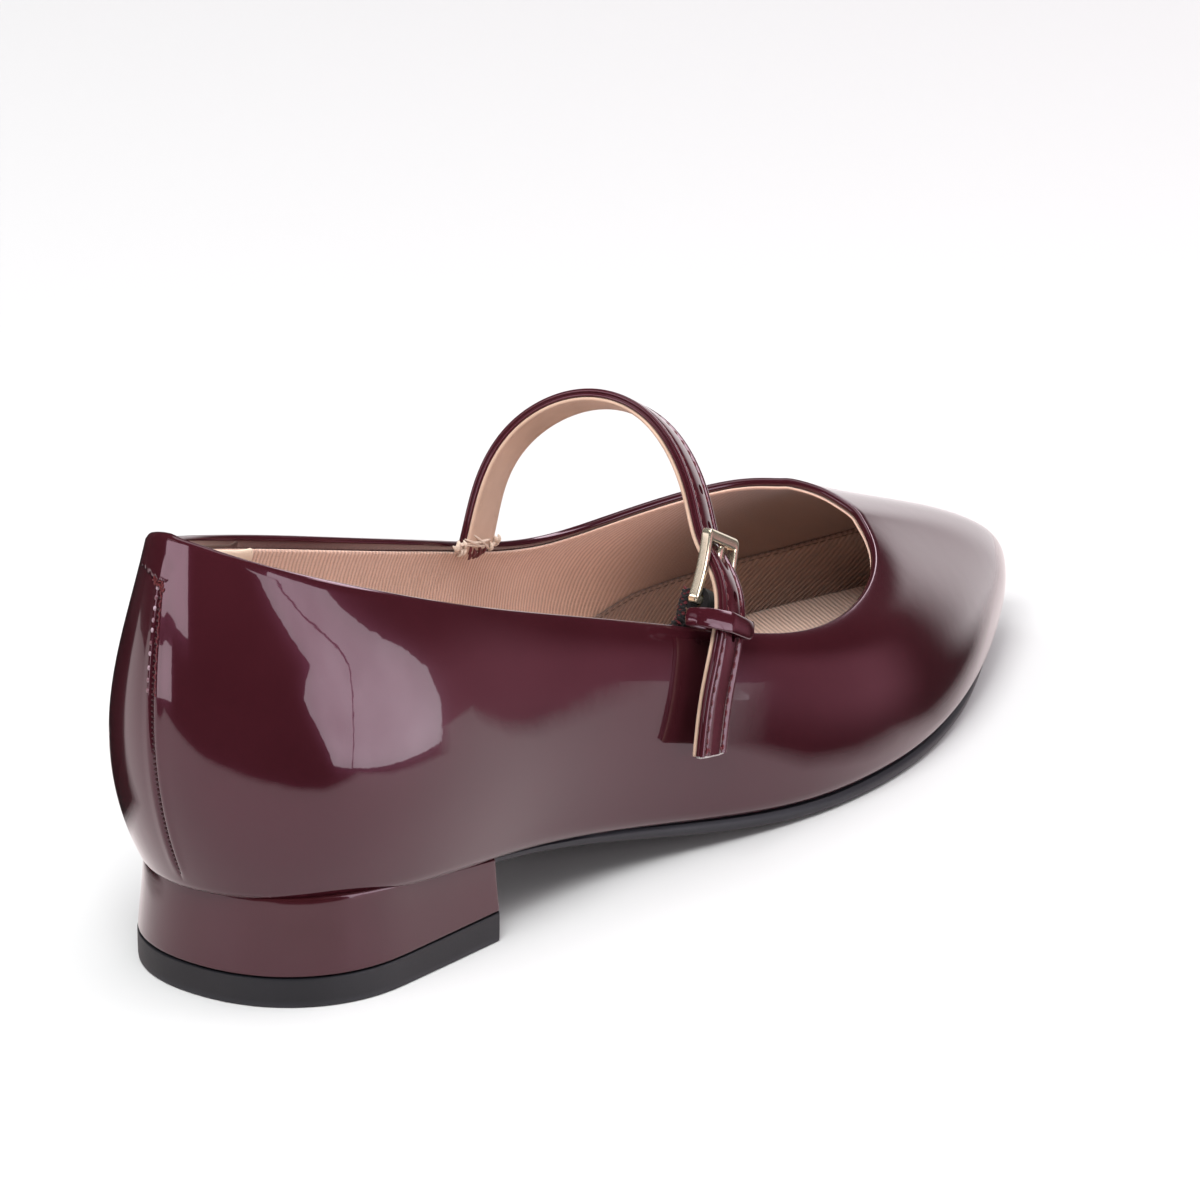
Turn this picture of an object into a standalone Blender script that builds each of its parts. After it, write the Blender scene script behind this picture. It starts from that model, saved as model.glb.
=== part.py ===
"""A pointed-toe flat for the right foot, with an instep strap, a pin buckle and a low block heel.

The upper is drawn round the last as a ring of columns. Each column starts at the feather line, where
the wall turns under the foot, rises through a shoulder and ends at the topline. A closed spline joins
the columns all the way round, so the outside, the lining side and the sole all follow one last.

Pattern tables are in millimetres: "along" runs from the back of the heel to the toe, "across" is
positive to the outer side of the foot, and "up" is the height over the floor. World axes are in
metres: the toe points to -Y, the outer side to -X and +Z is up.
"""
import math

import bmesh
import bpy
import numpy as np

MM = 0.001

# Driving dimensions, in millimetres
LENGTH = 256.0            # back of the heel to the toe point, along the feather line
BALL_WIDTH = 71.5         # widest place of the forefoot, at the feather line
BACK_HEIGHT = 87.0        # floor to the top of the back seam
SEAT_HEIGHT = 20.2        # floor to the heel seat, at the back
WALL = 1.6                # upper: patent skin, backing and lining together
ROLL = 2.3                # radius of the turn under the foot
MARGIN = 4.0              # lasting margin that lies flat under the insole
POINT_EASE = 0.5          # share of the roll and margin that is trimmed away at the toe point
POINT_REACH = 9.0         # how far back from the point that trimming reaches
GAP = 0.3                 # room between pieces that are cemented or sewn together

SOLE_FRONT = 2.95         # outsole thickness under the forefoot
SOLE_SHANK = 1.8          # outsole thickness where it meets the heel
SOLE_INSET_FRONT = 0.6    # how far the sole's edge stays inside the feather line
SOLE_INSET_SHANK = 3.2
SOLE_INSET_TOE = 1.9       # at the toe point, where the upper overhangs the sole
SOLE_BEVEL = 1.3

HEEL_WIDTH = 53.8         # top piece, across
HEEL_BACK = 6.9           # along, rearmost point of the top piece
HEEL_BREAST = 61.4        # along, front face of the heel at the floor
HEEL_ROUND = 2.17         # power of the superellipse round the back of the heel
HEEL_FLARE = 1.3          # how much narrower each side is at the seat
HEEL_RAKE = 0.4           # how much further forward the breast is at the seat
TOP_PIECE = 5.6

INSOLE = 2.4
INSOLE_INSET = 2.6
INSOLE_TRIM = 0.3          # how much of the trimming at the toe point the insole shares
INSOLE_NOSE = 2.4          # how much shorter than the last the insole is at the toe point
NOSE_REACH = 12.0          # length of the nose that is shortened

STRAP_WIDTH = 8.6
STRAP_THICK = 2.4
KEEPER_BAND = 4.7
KEEPER_THICK = 0.9
KEEPER_HEEL_ROOM = 5.0     # the loop is slack: room beyond the strap's edge, heel side and toe side
KEEPER_TOE_ROOM = 0.9
KEEPER_TURN = 0.5          # how steeply the slack end turns in behind the strap

FRAME_WIDTH = 12.4        # buckle frame, outside sizes
FRAME_HEIGHT = 14.0
FRAME_SIDE = 1.4          # width of the side bars
FRAME_BAR = 1.6           # width of the top bar and of the pin bar
FRAME_THICK = 2.0
FRAME_CORNER = 1.3
FRAME_BOW = 0.5           # how far the middle of the side bars stands out
PRONG_RADIUS = 0.75
TAB_WIDTH = 8.4
TAB_LAYER = 1.1

COLUMNS_A_SIDE = 44
WALL_RINGS = 13

# The last is drafted at these sizes, and every table is graded from them
DRAFT_LENGTH = 256.0
DRAFT_BALL_WIDTH = 71.5
DRAFT_BACK_HEIGHT = 87.0

# Columns of the upper, from the back seam round the outer side to the toe and back along the inner side
STATION_FIELDS = ("foot_along", "foot_across", "lean", "rise",
                  "mid_along", "mid_across", "mid_up", "top_along", "top_across", "top_up")
STATIONS = (
    ("back seam",     5.5,  -1.0, 0.50, 21.5,  -2.5,  -0.5, 64.5,   3.5,  -1.5, 87.0),
    ("back, outer",  13.0,  16.5, 0.44, 22.0,   6.0,  18.0, 62.0,  10.0,  12.0, 83.5),
    ("heel, outer",  32.0,  26.0, 0.30, 20.0,  31.0,  28.0, 58.0,  31.5,  22.0, 74.5),
    ("waist, outer", 70.0,  26.0, 0.25, 18.0,  70.0,  29.5, 50.0,  69.0,  24.5, 60.5),
    ("shank, outer", 110.0, 29.0, 0.22, 16.0, 110.0,  32.0, 42.0, 108.0,  27.5, 47.5),
    ("ball, outer",  149.5, 36.0, 0.20, 14.0, 146.0,  36.5, 36.0, 142.0,  32.0, 37.5),
    ("vamp, outer",  185.0, 33.0, 0.15, 13.0, 174.0,  33.0, 33.0, 168.0,  27.5, 36.0),
    ("toe, outer",   214.0, 23.0, 0.12, 12.0, 196.0,  23.0, 33.0, 184.5,  18.5, 38.5),
    ("tip, outer",   241.0,  9.0, 0.12, 12.0, 210.0,  10.5, 35.0, 191.0,  10.5, 42.0),
    ("by the point, outer", 252.4, 1.2, 0.13, 12.0, 214.0, 5.3, 35.4, 191.7, 6.0, 44.0),
    ("toe point",    256.0, -3.5, 0.14, 12.0, 215.5,   0.0, 35.5, 191.2,   1.4, 45.6),
    ("by the point, inner", 252.2, -8.2, 0.13, 12.0, 214.0, -5.3, 35.4, 190.0, -2.8, 46.6),
    ("tip, inner",   240.0, -15.1, 0.12, 12.0, 210.0, -11.5, 35.6, 188.0,  -6.5, 47.0),
    ("toe, inner",   217.0, -27.0, 0.13, 12.5, 197.0, -22.5, 35.5, 182.0, -13.5, 46.8),
    ("vamp, inner",  190.0, -36.2, 0.16, 13.5, 175.0, -33.0, 35.5, 165.5, -22.5, 44.5),
    ("ball, inner",  154.5, -35.5, 0.20, 14.0, 146.0, -36.5, 36.0, 142.0, -28.0, 43.5),
    ("shank, inner", 112.0, -26.0, 0.30, 18.0, 110.0, -31.0, 44.0, 109.0, -26.0, 52.0),
    ("waist, inner", 70.0, -24.0, 0.35, 20.0,  70.0, -28.5, 52.0,  70.0, -24.0, 64.0),
    ("heel, inner",  32.0, -26.0, 0.30, 20.0,  31.5, -27.5, 57.5,  32.0, -22.0, 75.0),
    ("back, inner",  12.5, -17.5, 0.44, 21.5,   8.0, -17.0, 61.0,  11.0, -12.5, 82.5),
)
TOE_STATION = 10

# Underside of the upper, along the foot: heel seat, arch, flat ball and toe spring
BOTTOM_FIELDS = ("along", "up")
BOTTOM = (
    (0.0, 20.5), (24.0, 18.8), (56.0, 15.7), (92.0, 10.6), (122.0, 5.6), (142.0, 3.5),
    (160.0, 3.1), (180.0, 3.2), (205.0, 4.4), (232.0, 6.6), (258.0, 9.8),
)
DRAFT_SEAT_HEIGHT = 20.2
FLAT_BALL = 3.1

# Centre line of the instep strap, from its sewn inner end over the instep to the tail.
# "tilt" dips its front edge and "swing" turns it to the inner side, both in degrees.
STRAP_FIELDS = ("along", "across", "up", "tilt", "swing")
STRAP = (
    ("sewn end",       115.5, -26.1, 39.5,  5.0, -4.0),
    ("topline",        116.2, -23.1, 51.5, 11.0, -4.0),
    ("rise",           119.2, -22.0, 62.0, 18.0, -7.0),
    ("inner shoulder", 123.5, -18.6, 70.5, 25.0, -7.0),
    ("inner crown",    127.7, -11.6, 76.3, 28.0, -7.0),
    ("crown",          130.4,  -2.7, 78.4, 28.5, -8.0),
    ("outer crown",    131.0,   6.6, 76.4, 29.0, -8.0),
    ("outer shoulder", 129.6,  14.4, 71.1, 29.0, -8.0),
    ("fall",           127.1,  20.1, 64.5, 29.0, -8.5),
    ("under the bar",  124.4,  24.5, 58.3, 29.0, -8.5),
    ("through frame",  123.0,  28.9, 53.8, 28.0, -8.5),
    ("over the pin",   120.6,  32.7, 48.7, 26.5, -7.0),
    ("keeper",         116.7,  34.7, 41.6, 23.5, -5.0),
    ("tail",           113.4,  35.1, 32.9, 19.0, -4.0),
    ("tail end",       111.3,  35.3, 22.8, 15.0, -4.0),
)
STRAP_STEPS = 72
KEEPER_PLACE = 0.824      # where the keeper sits along the strap, from 0 to 1

# The buckle's own axes: its centre, the way its pin points and the way its bars lie
BUCKLE_CENTRE = (122.6, 27.3, 53.6)
BUCKLE_RISE = (0.457, -0.098, 0.884)
BUCKLE_WIDTHWAYS = (0.876, -0.120, -0.466)

# Elastic tab below the pin bar, in the buckle's own rise and outward directions
TAB_TONGUE = ((-10.2, -2.0), (-12.8, -4.15), (-16.0, -4.4), (-20.0, -3.6))


# ---------------------------------------------------------------- curves and placing

def graded(point):
    """Pattern millimetres (along, across, up) to the graded size."""
    along, across, up = np.moveaxis(np.asarray(point, float), -1, 0)
    return np.stack([along * LENGTH / DRAFT_LENGTH,
                     across * BALL_WIDTH / DRAFT_BALL_WIDTH,
                     up * BACK_HEIGHT / DRAFT_BACK_HEIGHT], -1)


def open_spline(knots, values, at):
    """Natural cubic spline through values at knots."""
    knots = np.asarray(knots, float)
    values = np.asarray(values, float)
    count = len(knots)
    step = np.diff(knots)
    system = np.eye(count)
    right = np.zeros_like(values)
    for i in range(1, count - 1):
        system[i, i - 1] = step[i - 1]
        system[i, i] = 2 * (step[i - 1] + step[i])
        system[i, i + 1] = step[i]
        right[i] = 6 * ((values[i + 1] - values[i]) / step[i] - (values[i] - values[i - 1]) / step[i - 1])
    bend = np.linalg.solve(system, right)
    i = np.clip(np.searchsorted(knots, at) - 1, 0, count - 2)
    return spline_piece(knots[i], knots[i + 1], values[i], values[i + 1], bend[i], bend[i + 1], at)


def closed_spline(knots, values, at):
    """Periodic cubic spline: knots has one entry more than values, and the last closes the ring."""
    count = len(values)
    step = np.diff(knots)
    system = np.zeros((count, count))
    right = np.zeros_like(values)
    for i in range(count):
        before, after = (i - 1) % count, (i + 1) % count
        system[i, before] += step[before]
        system[i, i] += 2 * (step[before] + step[i])
        system[i, after] += step[i]
        right[i] = 6 * ((values[after] - values[i]) / step[i] - (values[i] - values[before]) / step[before])
    bend = np.linalg.solve(system, right)
    at = np.mod(at, knots[-1])
    i = np.clip(np.searchsorted(knots, at, side="right") - 1, 0, count - 1)
    after = (i + 1) % count
    return spline_piece(knots[i], knots[i + 1], values[i], values[after], bend[i], bend[after], at)


def spline_piece(start, end, low, high, bend_low, bend_high, at):
    """One cubic span, for one column of values or for several."""
    if low.ndim > 1:
        start, end, at = start[:, None], end[:, None], at[:, None]
    width = end - start
    done, left = at - start, end - at
    return ((bend_low * left**3 + bend_high * done**3) / (6 * width)
            + (low / width - bend_low * width / 6) * left
            + (high / width - bend_high * width / 6) * done)


def bottom_height(along):
    """Height of the upper's underside at a graded place along the foot."""
    table = np.array(BOTTOM)
    flat = FLAT_BALL
    lift = (SEAT_HEIGHT - flat) / (DRAFT_SEAT_HEIGHT - flat)
    draft = open_spline(table[:, 0], table[:, 1], np.asarray(along, float) * DRAFT_LENGTH / LENGTH)
    return np.maximum(flat + (draft - flat) * lift, flat)


def to_world(points):
    """(along, across, up) in millimetres to world metres, centred on the whole shoe."""
    points = np.asarray(points, float)
    along, across, up = points[..., 0], points[..., 1], points[..., 2]
    return np.stack([CENTRE_ACROSS - across, CENTRE_ALONG - along, up], -1) * MM


def unit(vectors):
    return vectors / np.linalg.norm(vectors, axis=-1, keepdims=True)


# ---------------------------------------------------------------- the last

TABLE = np.array([row[1:] for row in STATIONS])
FIELD = {name: i for i, name in enumerate(STATION_FIELDS)}
FEATHER = TABLE[:, :2]
KNOTS = np.concatenate([[0.0], np.cumsum(np.linalg.norm(np.roll(FEATHER, -1, 0) - FEATHER, axis=1))])
TOE_KNOT = KNOTS[TOE_STATION]


class Column:
    """The last's controls at places round the feather line, one row for each place."""

    def __init__(self, places):
        value = closed_spline(KNOTS, TABLE, places)
        near = 0.01
        ahead = closed_spline(KNOTS, TABLE[:, :2], places + near)
        behind = closed_spline(KNOTS, TABLE[:, :2], places - near)
        way = graded(np.column_stack([ahead - behind, np.zeros(len(places))]))
        way = unit(way)
        self.outward = np.stack([-way[:, 1], way[:, 0], np.zeros(len(places))], -1)
        self.lean = value[:, FIELD["lean"]][:, None]
        self.rise = value[:, FIELD["rise"]][:, None]
        foot = graded(np.column_stack([value[:, :2], np.zeros(len(places))]))
        foot[:, 2] = bottom_height(foot[:, 0]) + ROLL
        self.foot = foot
        from_point = np.linalg.norm(foot[:, :2] - graded([*FEATHER[TOE_STATION], 0.0])[:2], axis=1)
        self.tuck = 1 - POINT_EASE * np.exp(-(from_point / POINT_REACH)**2)[:, None]
        self.shoulder = graded(value[:, FIELD["mid_along"]:FIELD["mid_up"] + 1])
        self.topline = graded(value[:, FIELD["top_along"]:FIELD["top_up"] + 1])

    def wall(self, share):
        """Outer face, from the feather line at 0 to the topline at 1."""
        rising = np.array([0.0, 0.0, 1.0]) + self.outward * self.lean
        first = self.foot + rising * self.rise
        rest = 1 - share
        return (rest**3 * self.foot + 3 * share * rest**2 * first
                + 3 * share**2 * rest * self.shoulder + share**3 * self.topline)

    def roll(self, share):
        """The turn under the foot, from the flat underside at 0 to the feather line at 1."""
        grip = 0.55 * ROLL
        start = self.under(ROLL)
        first = start + self.outward * grip
        second = self.foot - (np.array([0.0, 0.0, 1.0]) + self.outward * self.lean) * grip
        rest = 1 - share
        return (rest**3 * start + 3 * share * rest**2 * first
                + 3 * share**2 * rest * second + share**3 * self.foot)

    def under(self, inset, lift=0.0, trimmed=1.0, nose=0.0):
        """A point above the upper's underside, inset from the feather line."""
        point = self.foot - self.outward * inset * (1 - trimmed * (1 - self.tuck))
        beyond = np.maximum(0.0, point[:, 0] - (LENGTH - NOSE_REACH)) / NOSE_REACH
        point[:, 0] -= nose * beyond**2
        point[:, 2] = bottom_height(point[:, 0]) + lift
        return point


def even_places(start, end, count, ends=False):
    """Places between two knots, closer together where the outline or the topline turns."""
    fine = np.linspace(start, end, 600)
    column = Column(fine)
    turning = np.zeros(len(fine))
    for outline in (column.foot, column.topline):
        way = np.gradient(outline[:, :2], axis=0)
        turning += np.abs(np.gradient(np.unwrap(np.arctan2(way[:, 1], way[:, 0]))))
    density = (end - start) / len(fine) / 8.0 + turning / math.radians(24)
    reach = np.concatenate([[0.0], np.cumsum((density[1:] + density[:-1]) / 2)])
    share = np.linspace(0, reach[-1], count + 1)
    places = np.interp(share, reach, fine)
    return places if ends else places[:-1]


def forefoot_places(start_along, count):
    """Places round the forefoot, from one side of the breast to the other, mirrored in number."""
    outer = np.linspace(0, TOE_KNOT, 800)
    inner = np.linspace(TOE_KNOT, KNOTS[-1], 800)
    first = np.interp(start_along, Column(outer).foot[:, 0], outer)
    last = np.interp(-start_along, -Column(inner).foot[:, 0], inner)
    return np.concatenate([even_places(first, TOE_KNOT, count), even_places(TOE_KNOT, last, count, True)])


# ---------------------------------------------------------------- meshes

def new_object(name, mesh_maker, material):
    mesh = bmesh.new()
    mesh_maker(mesh)
    bmesh.ops.recalc_face_normals(mesh, faces=mesh.faces)
    data = bpy.data.meshes.new(name)
    mesh.to_mesh(data)
    mesh.free()
    data.shade_smooth()
    data.set_sharp_from_angle(angle=math.radians(40))
    data.materials.append(material)
    node = bpy.data.objects.new(name, data)
    bpy.context.scene.collection.objects.link(node)
    return node


def add_rings(mesh, rings, closed=False):
    """Skin a list of rings that all have the same number of points."""
    loops = [[mesh.verts.new(point) for point in to_world(ring)] for ring in rings]
    pairs = list(zip(loops, loops[1:]))
    if closed:
        pairs.append((loops[-1], loops[0]))
    for low, high in pairs:
        for i in range(len(low)):
            j = (i + 1) % len(low)
            mesh.faces.new((low[i], low[j], high[j], high[i]))
    return loops


def add_ladder(mesh, loop, point_at_rear=False):
    """Close a long outline with rungs across it. Its first point is the rear point itself, or else
    the first and last points are the two rear corners."""
    count = len(loop)
    shift = 0 if point_at_rear else 1
    last = (count + shift) // 2 + 1 - shift
    rungs = [(loop[i], loop[-i - shift]) for i in range(last)]
    for low, high in zip(rungs, rungs[1:]):
        mesh.faces.new(list(dict.fromkeys([low[0], high[0], high[1], low[1]])))


def add_solid(mesh, rings, point_at_rear=False):
    """A solid whose first and last outlines are closed with rungs."""
    loops = add_rings(mesh, rings)
    add_ladder(mesh, loops[0], point_at_rear)
    add_ladder(mesh, loops[-1], point_at_rear)


def add_loft(mesh, rings):
    """A bar whose two ends are flat faces."""
    loops = add_rings(mesh, rings)
    mesh.faces.new(loops[0])
    mesh.faces.new(loops[-1])


def make_material(name, colour, roughness, metallic=0.0, coat=0.0):
    material = bpy.data.materials.new(name)
    material.use_nodes = True
    shader = material.node_tree.nodes["Principled BSDF"]
    shader.inputs["Base Color"].default_value = (*colour, 1.0)
    shader.inputs["Roughness"].default_value = roughness
    shader.inputs["Metallic"].default_value = metallic
    shader.inputs["Coat Weight"].default_value = coat
    return material


# ---------------------------------------------------------------- upper, insole and bottom

def build_upper(material):
    places = np.concatenate([even_places(0, TOE_KNOT, COLUMNS_A_SIDE),
                             even_places(TOE_KNOT, KNOTS[-1], COLUMNS_A_SIDE)])
    column = Column(places)
    rings = [column.under(ROLL + MARGIN), column.under(ROLL + MARGIN / 2)]
    rings += [column.roll(share) for share in (0.0, 0.36, 0.68)]
    edge = 0.965
    rings += [column.wall(edge * i / WALL_RINGS) for i in range(WALL_RINGS + 1)]
    rings.append(column.wall(1.0))
    node = new_object("upper", lambda mesh: add_rings(mesh, rings), material)
    shell = node.modifiers.new("wall", "SOLIDIFY")
    shell.thickness = WALL * MM
    shell.offset = -1.0
    shell.use_even_offset = True
    return node


def side_by_side(count):
    """Places round the whole outline that start and end at the rear, so rungs can close it."""
    outer = even_places(0, TOE_KNOT, count, True)
    inner = even_places(TOE_KNOT, KNOTS[-1], count, True)
    return np.concatenate([outer, inner[1:-1]])


def build_insole(material):
    column = Column(side_by_side(30))
    rest = WALL + GAP
    rings = [column.under(INSOLE_INSET + extra, rest + lift, INSOLE_TRIM, INSOLE_NOSE)
             for extra, lift in ((0.8, 0.0), (0.0, 1.2), (0.0, INSOLE))]
    return new_object("insole", lambda mesh: add_solid(mesh, rings, point_at_rear=True), material)


def sole_thickness(along):
    share = np.clip((along - HEEL_BREAST) / (125.0 - HEEL_BREAST), 0, 1)
    return SOLE_SHANK + (SOLE_FRONT - SOLE_SHANK) * share**2 * (3 - 2 * share)


def build_outsole(material):
    start = HEEL_BREAST + HEEL_RAKE + GAP + 0.1
    column = Column(forefoot_places(start, 28))
    share = np.clip((column.foot[:, 0] - start) / (140.0 - start), 0, 1)[:, None]
    inset = SOLE_INSET_SHANK + (SOLE_INSET_FRONT - SOLE_INSET_SHANK) * share**2 * (3 - 2 * share)
    share = np.clip((column.foot[:, 0] - 195.0) / 50.0, 0, 1)[:, None]
    inset = inset + (SOLE_INSET_TOE - SOLE_INSET_FRONT) * share**2 * (3 - 2 * share)

    def ring(extra, depth):
        """depth runs from 0 at the upper to 1 at the ground."""
        point = column.foot - column.outward * (inset + extra)
        point[:, 0] = np.maximum(point[:, 0], start)
        point[:, 2] = bottom_height(point[:, 0]) - GAP - depth * sole_thickness(point[:, 0])
        point[:, 2] = np.maximum(point[:, 2], 0.0)
        return point

    rings = [ring(0.5, 0.0), ring(0.0, 0.22), ring(0.0, 0.55), ring(SOLE_BEVEL * 0.4, 0.86),
             ring(SOLE_BEVEL, 1.0)]
    return new_object("outsole", lambda mesh: add_solid(mesh, rings), material)


def heel_outline(back, half_width, breast, arc_count=22, side_count=5):
    """Rounded back and straight sides of the heel, from the outer breast corner round the back."""
    angle = np.linspace(-math.pi / 2, math.pi / 2, arc_count + 1)
    power = 2 / HEEL_ROUND
    along = back + half_width * (1 - np.abs(np.cos(angle))**power)
    across = half_width * np.sign(np.sin(angle)) * np.abs(np.sin(angle))**power
    side = np.linspace(breast, back + half_width, side_count, endpoint=False)
    corner = 1.2
    front = [[breast, corner - half_width], [breast, half_width - corner]]
    side[0] -= corner
    return np.concatenate([
        np.array(front[:1]),
        np.stack([side, np.full(side_count, -half_width)], 1),
        np.stack([along, across], 1),
        np.stack([side[::-1], np.full(side_count, half_width)], 1),
        np.array(front[1:]),
    ])


def heel_ring(share, up):
    """share 0 is at the ground and 1 at the seat."""
    outline = heel_outline(HEEL_BACK + HEEL_FLARE * share, HEEL_WIDTH / 2 - HEEL_FLARE * share,
                           HEEL_BREAST + HEEL_RAKE * share)
    height = up(outline[:, 0]) if callable(up) else np.full(len(outline), up)
    return np.column_stack([outline, height])


def build_heel_block(material):
    low = TOP_PIECE + GAP

    def level(depth):
        return lambda along: low + (bottom_height(along) - GAP - low) * depth

    rings = [heel_ring(0.06, low), heel_ring(0.30, level(0.25)), heel_ring(0.62, level(0.55)),
             heel_ring(0.88, level(0.85)), heel_ring(1.0, level(1.0))]
    return new_object("heel_block", lambda mesh: add_solid(mesh, rings), material)


def build_top_piece(material):
    rings = [heel_ring(0.2, 0.0), heel_ring(0.0, 0.5), heel_ring(0.0, TOP_PIECE - 0.3),
             heel_ring(0.1, TOP_PIECE)]
    return new_object("top_piece", lambda mesh: add_solid(mesh, rings), material)


# ---------------------------------------------------------------- strap, keeper and buckle

class StrapLine:
    """The strap's centre line and its own axes: widthways, outward and along."""

    def __init__(self, count):
        table = np.array([row[1:] for row in STRAP])
        knots = np.linspace(0, 1, len(table))
        self.share = np.linspace(0, 1, count)
        value = open_spline(knots, table, self.share)
        self.point = value[:, :3]
        tilt = np.radians(value[:, 3])
        swing = np.radians(value[:, 4])
        self.way = unit(np.gradient(self.point, axis=0))
        width = np.stack([np.cos(tilt) * np.cos(swing), np.sin(swing), -np.sin(tilt) * np.cos(swing)], -1)
        width -= (width * self.way).sum(1, keepdims=True) * self.way
        self.width = unit(width)
        self.outward = np.cross(self.width, self.way)

    def place(self, i, widthways, outward, along=0.0):
        return (self.point[i] + self.width[i] * widthways + self.outward[i] * outward
                + self.way[i] * along)


def rounded_bar(half_width, half_thick, corner):
    """Eight points round a flat bar with chamfered corners."""
    inner_width, inner_thick = half_width - corner, half_thick - corner
    return ((inner_width, half_thick), (half_width, inner_thick), (half_width, -inner_thick),
            (inner_width, -half_thick), (-inner_width, -half_thick), (-half_width, -inner_thick),
            (-half_width, inner_thick), (-inner_width, half_thick))


def build_strap(material):
    line = StrapLine(STRAP_STEPS)
    outline = rounded_bar(STRAP_WIDTH / 2, STRAP_THICK / 2, 0.5)
    rings = [[line.place(i, across, out) for across, out in outline] for i in range(STRAP_STEPS)]
    return new_object("strap", lambda mesh: add_loft(mesh, rings), material)


def build_keeper(material):
    line = StrapLine(400)
    i = int(KEEPER_PLACE * 399)
    steps = 28
    inner_thick = STRAP_THICK / 2 + GAP + 0.25
    bulge = 0.9
    rings = []
    for turn in np.linspace(0, 2 * math.pi, steps, endpoint=False):
        side = math.copysign(abs(math.cos(turn))**0.6, math.cos(turn))
        rise = math.copysign(abs(math.sin(turn))**0.35, math.sin(turn))
        inner_width = STRAP_WIDTH / 2 + (KEEPER_TOE_ROOM if side > 0 else KEEPER_HEEL_ROOM)
        ring = []
        for thick, along in ((0.0, -0.5), (0.0, 0.5), (KEEPER_THICK, 0.42), (KEEPER_THICK, -0.42)):
            width = (inner_width + thick) * side
            out = (inner_thick + thick) * rise + (bulge if rise > 0 else 0.0) * rise
            out -= KEEPER_TURN * max(0.0, -STRAP_WIDTH / 2 - width)
            ring.append(line.place(i, width, out, along * KEEPER_BAND))
        rings.append(ring)
    return new_object("keeper_loop", lambda mesh: add_rings(mesh, rings, closed=True), material)


def buckle_axes():
    width = unit(np.array(BUCKLE_WIDTHWAYS))
    rise = np.array(BUCKLE_RISE)
    rise = unit(rise - (rise @ width) * width)
    return np.array(BUCKLE_CENTRE), width, rise, -np.cross(width, rise)


def buckle_point(widthways, rise, outward):
    centre, width_axis, rise_axis, outward_axis = buckle_axes()
    return centre + widthways * width_axis + rise * rise_axis + outward * outward_axis


def build_buckle_frame(material):
    """A rectangular frame of flat bars, slightly bowed, with small outer corners."""
    corners = ((1, 1), (-1, 1), (-1, -1), (1, -1))
    half_width, half_height = FRAME_WIDTH / 2, FRAME_HEIGHT / 2
    corner = FRAME_CORNER
    rings = []
    for x_side, y_side in corners:
        first = (half_width - corner) * x_side, half_height * y_side
        last = half_width * x_side, (half_height - corner) * y_side
        middle = (half_width - corner * 0.3) * x_side, (half_height - corner * 0.3) * y_side
        ends = [last, middle, first] if x_side * y_side > 0 else [first, middle, last]
        for outer_x, outer_y in ends:
            inner_x = (half_width - FRAME_SIDE) * x_side
            inner_y = (half_height - FRAME_BAR) * y_side
            rings.append(frame_profile(outer_x, outer_y, inner_x, inner_y))
        next_x, next_y = corners[(corners.index((x_side, y_side)) + 1) % 4]
        mid_x, mid_y = (x_side + next_x) / 2, (y_side + next_y) / 2
        inner_x, inner_y = (half_width - FRAME_SIDE) * mid_x, (half_height - FRAME_BAR) * mid_y
        rings.append(frame_profile(half_width * mid_x, half_height * mid_y, inner_x, inner_y))
    return new_object("buckle_frame", lambda mesh: add_rings(mesh, rings, closed=True), material)


def frame_profile(outer_x, outer_y, inner_x, inner_y):
    """One cut through the frame, from its outer edge to its inner edge, with chamfered edges."""
    half = FRAME_THICK / 2
    cut = 0.3
    points = []
    for share, out in ((0.0, half - cut), (0.2, half), (0.8, half), (1.0, half - cut),
                       (1.0, cut - half), (0.8, -half), (0.2, -half), (0.0, cut - half)):
        x = outer_x + (inner_x - outer_x) * share
        y = outer_y + (inner_y - outer_y) * share
        bow = FRAME_BOW * (1 - (y / (FRAME_HEIGHT / 2))**2)
        points.append(buckle_point(x, y, out + bow))
    return points


def prong_path():
    """Round the pin bar, then straight to the top bar: (rise, outward) in the buckle's plane."""
    bar = -(FRAME_HEIGHT / 2 - FRAME_BAR / 2)
    reach = FRAME_THICK / 2 + FRAME_BOW / 4 + GAP + PRONG_RADIUS
    hook = [(bar + reach * math.sin(turn), -reach * math.cos(turn) * 0.98)
            for turn in np.radians(np.linspace(60, -180, 13))]
    straight = [(bar + (FRAME_HEIGHT - FRAME_BAR + 1.6) * share, reach + 0.35 * math.sin(math.pi * share))
                for share in (0.15, 0.3, 0.45, 0.6, 0.75, 0.9, 1.0)]
    return hook + straight


def tube_rings(path, radius, sides=8):
    """Round bar that follows a path of (rise, outward) points at the buckle's middle."""
    path = np.array(path)
    way = unit(np.gradient(path, axis=0))
    rings = []
    for (rise, out), (way_rise, way_out) in zip(path, way):
        ring = []
        for i in range(sides):
            turn = 2 * math.pi * (i + 0.5) / sides
            across, lift = radius * math.cos(turn), radius * math.sin(turn)
            ring.append(buckle_point(across, rise - way_out * lift, out + way_rise * lift))
        rings.append(ring)
    return rings


def build_prong(material):
    rings = tube_rings(prong_path(), PRONG_RADIUS)
    return new_object("buckle_prong", lambda mesh: add_loft(mesh, rings), material)


def cut_with(node, cutter):
    cutter.hide_render = True
    cutter.display_type = "WIRE"
    cut = node.modifiers.new("cut", "BOOLEAN")
    cut.operation = "DIFFERENCE"
    cut.solver = "EXACT"
    cut.object = cutter


def punch_strap(strap, material):
    """The punched hole that the prong passes through."""
    path = prong_path()[-11:]
    cutter = new_object("strap_hole_cutter",
                        lambda mesh: add_loft(mesh, tube_rings(path, PRONG_RADIUS + GAP + 0.05)), material)
    cut_with(strap, cutter)


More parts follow.
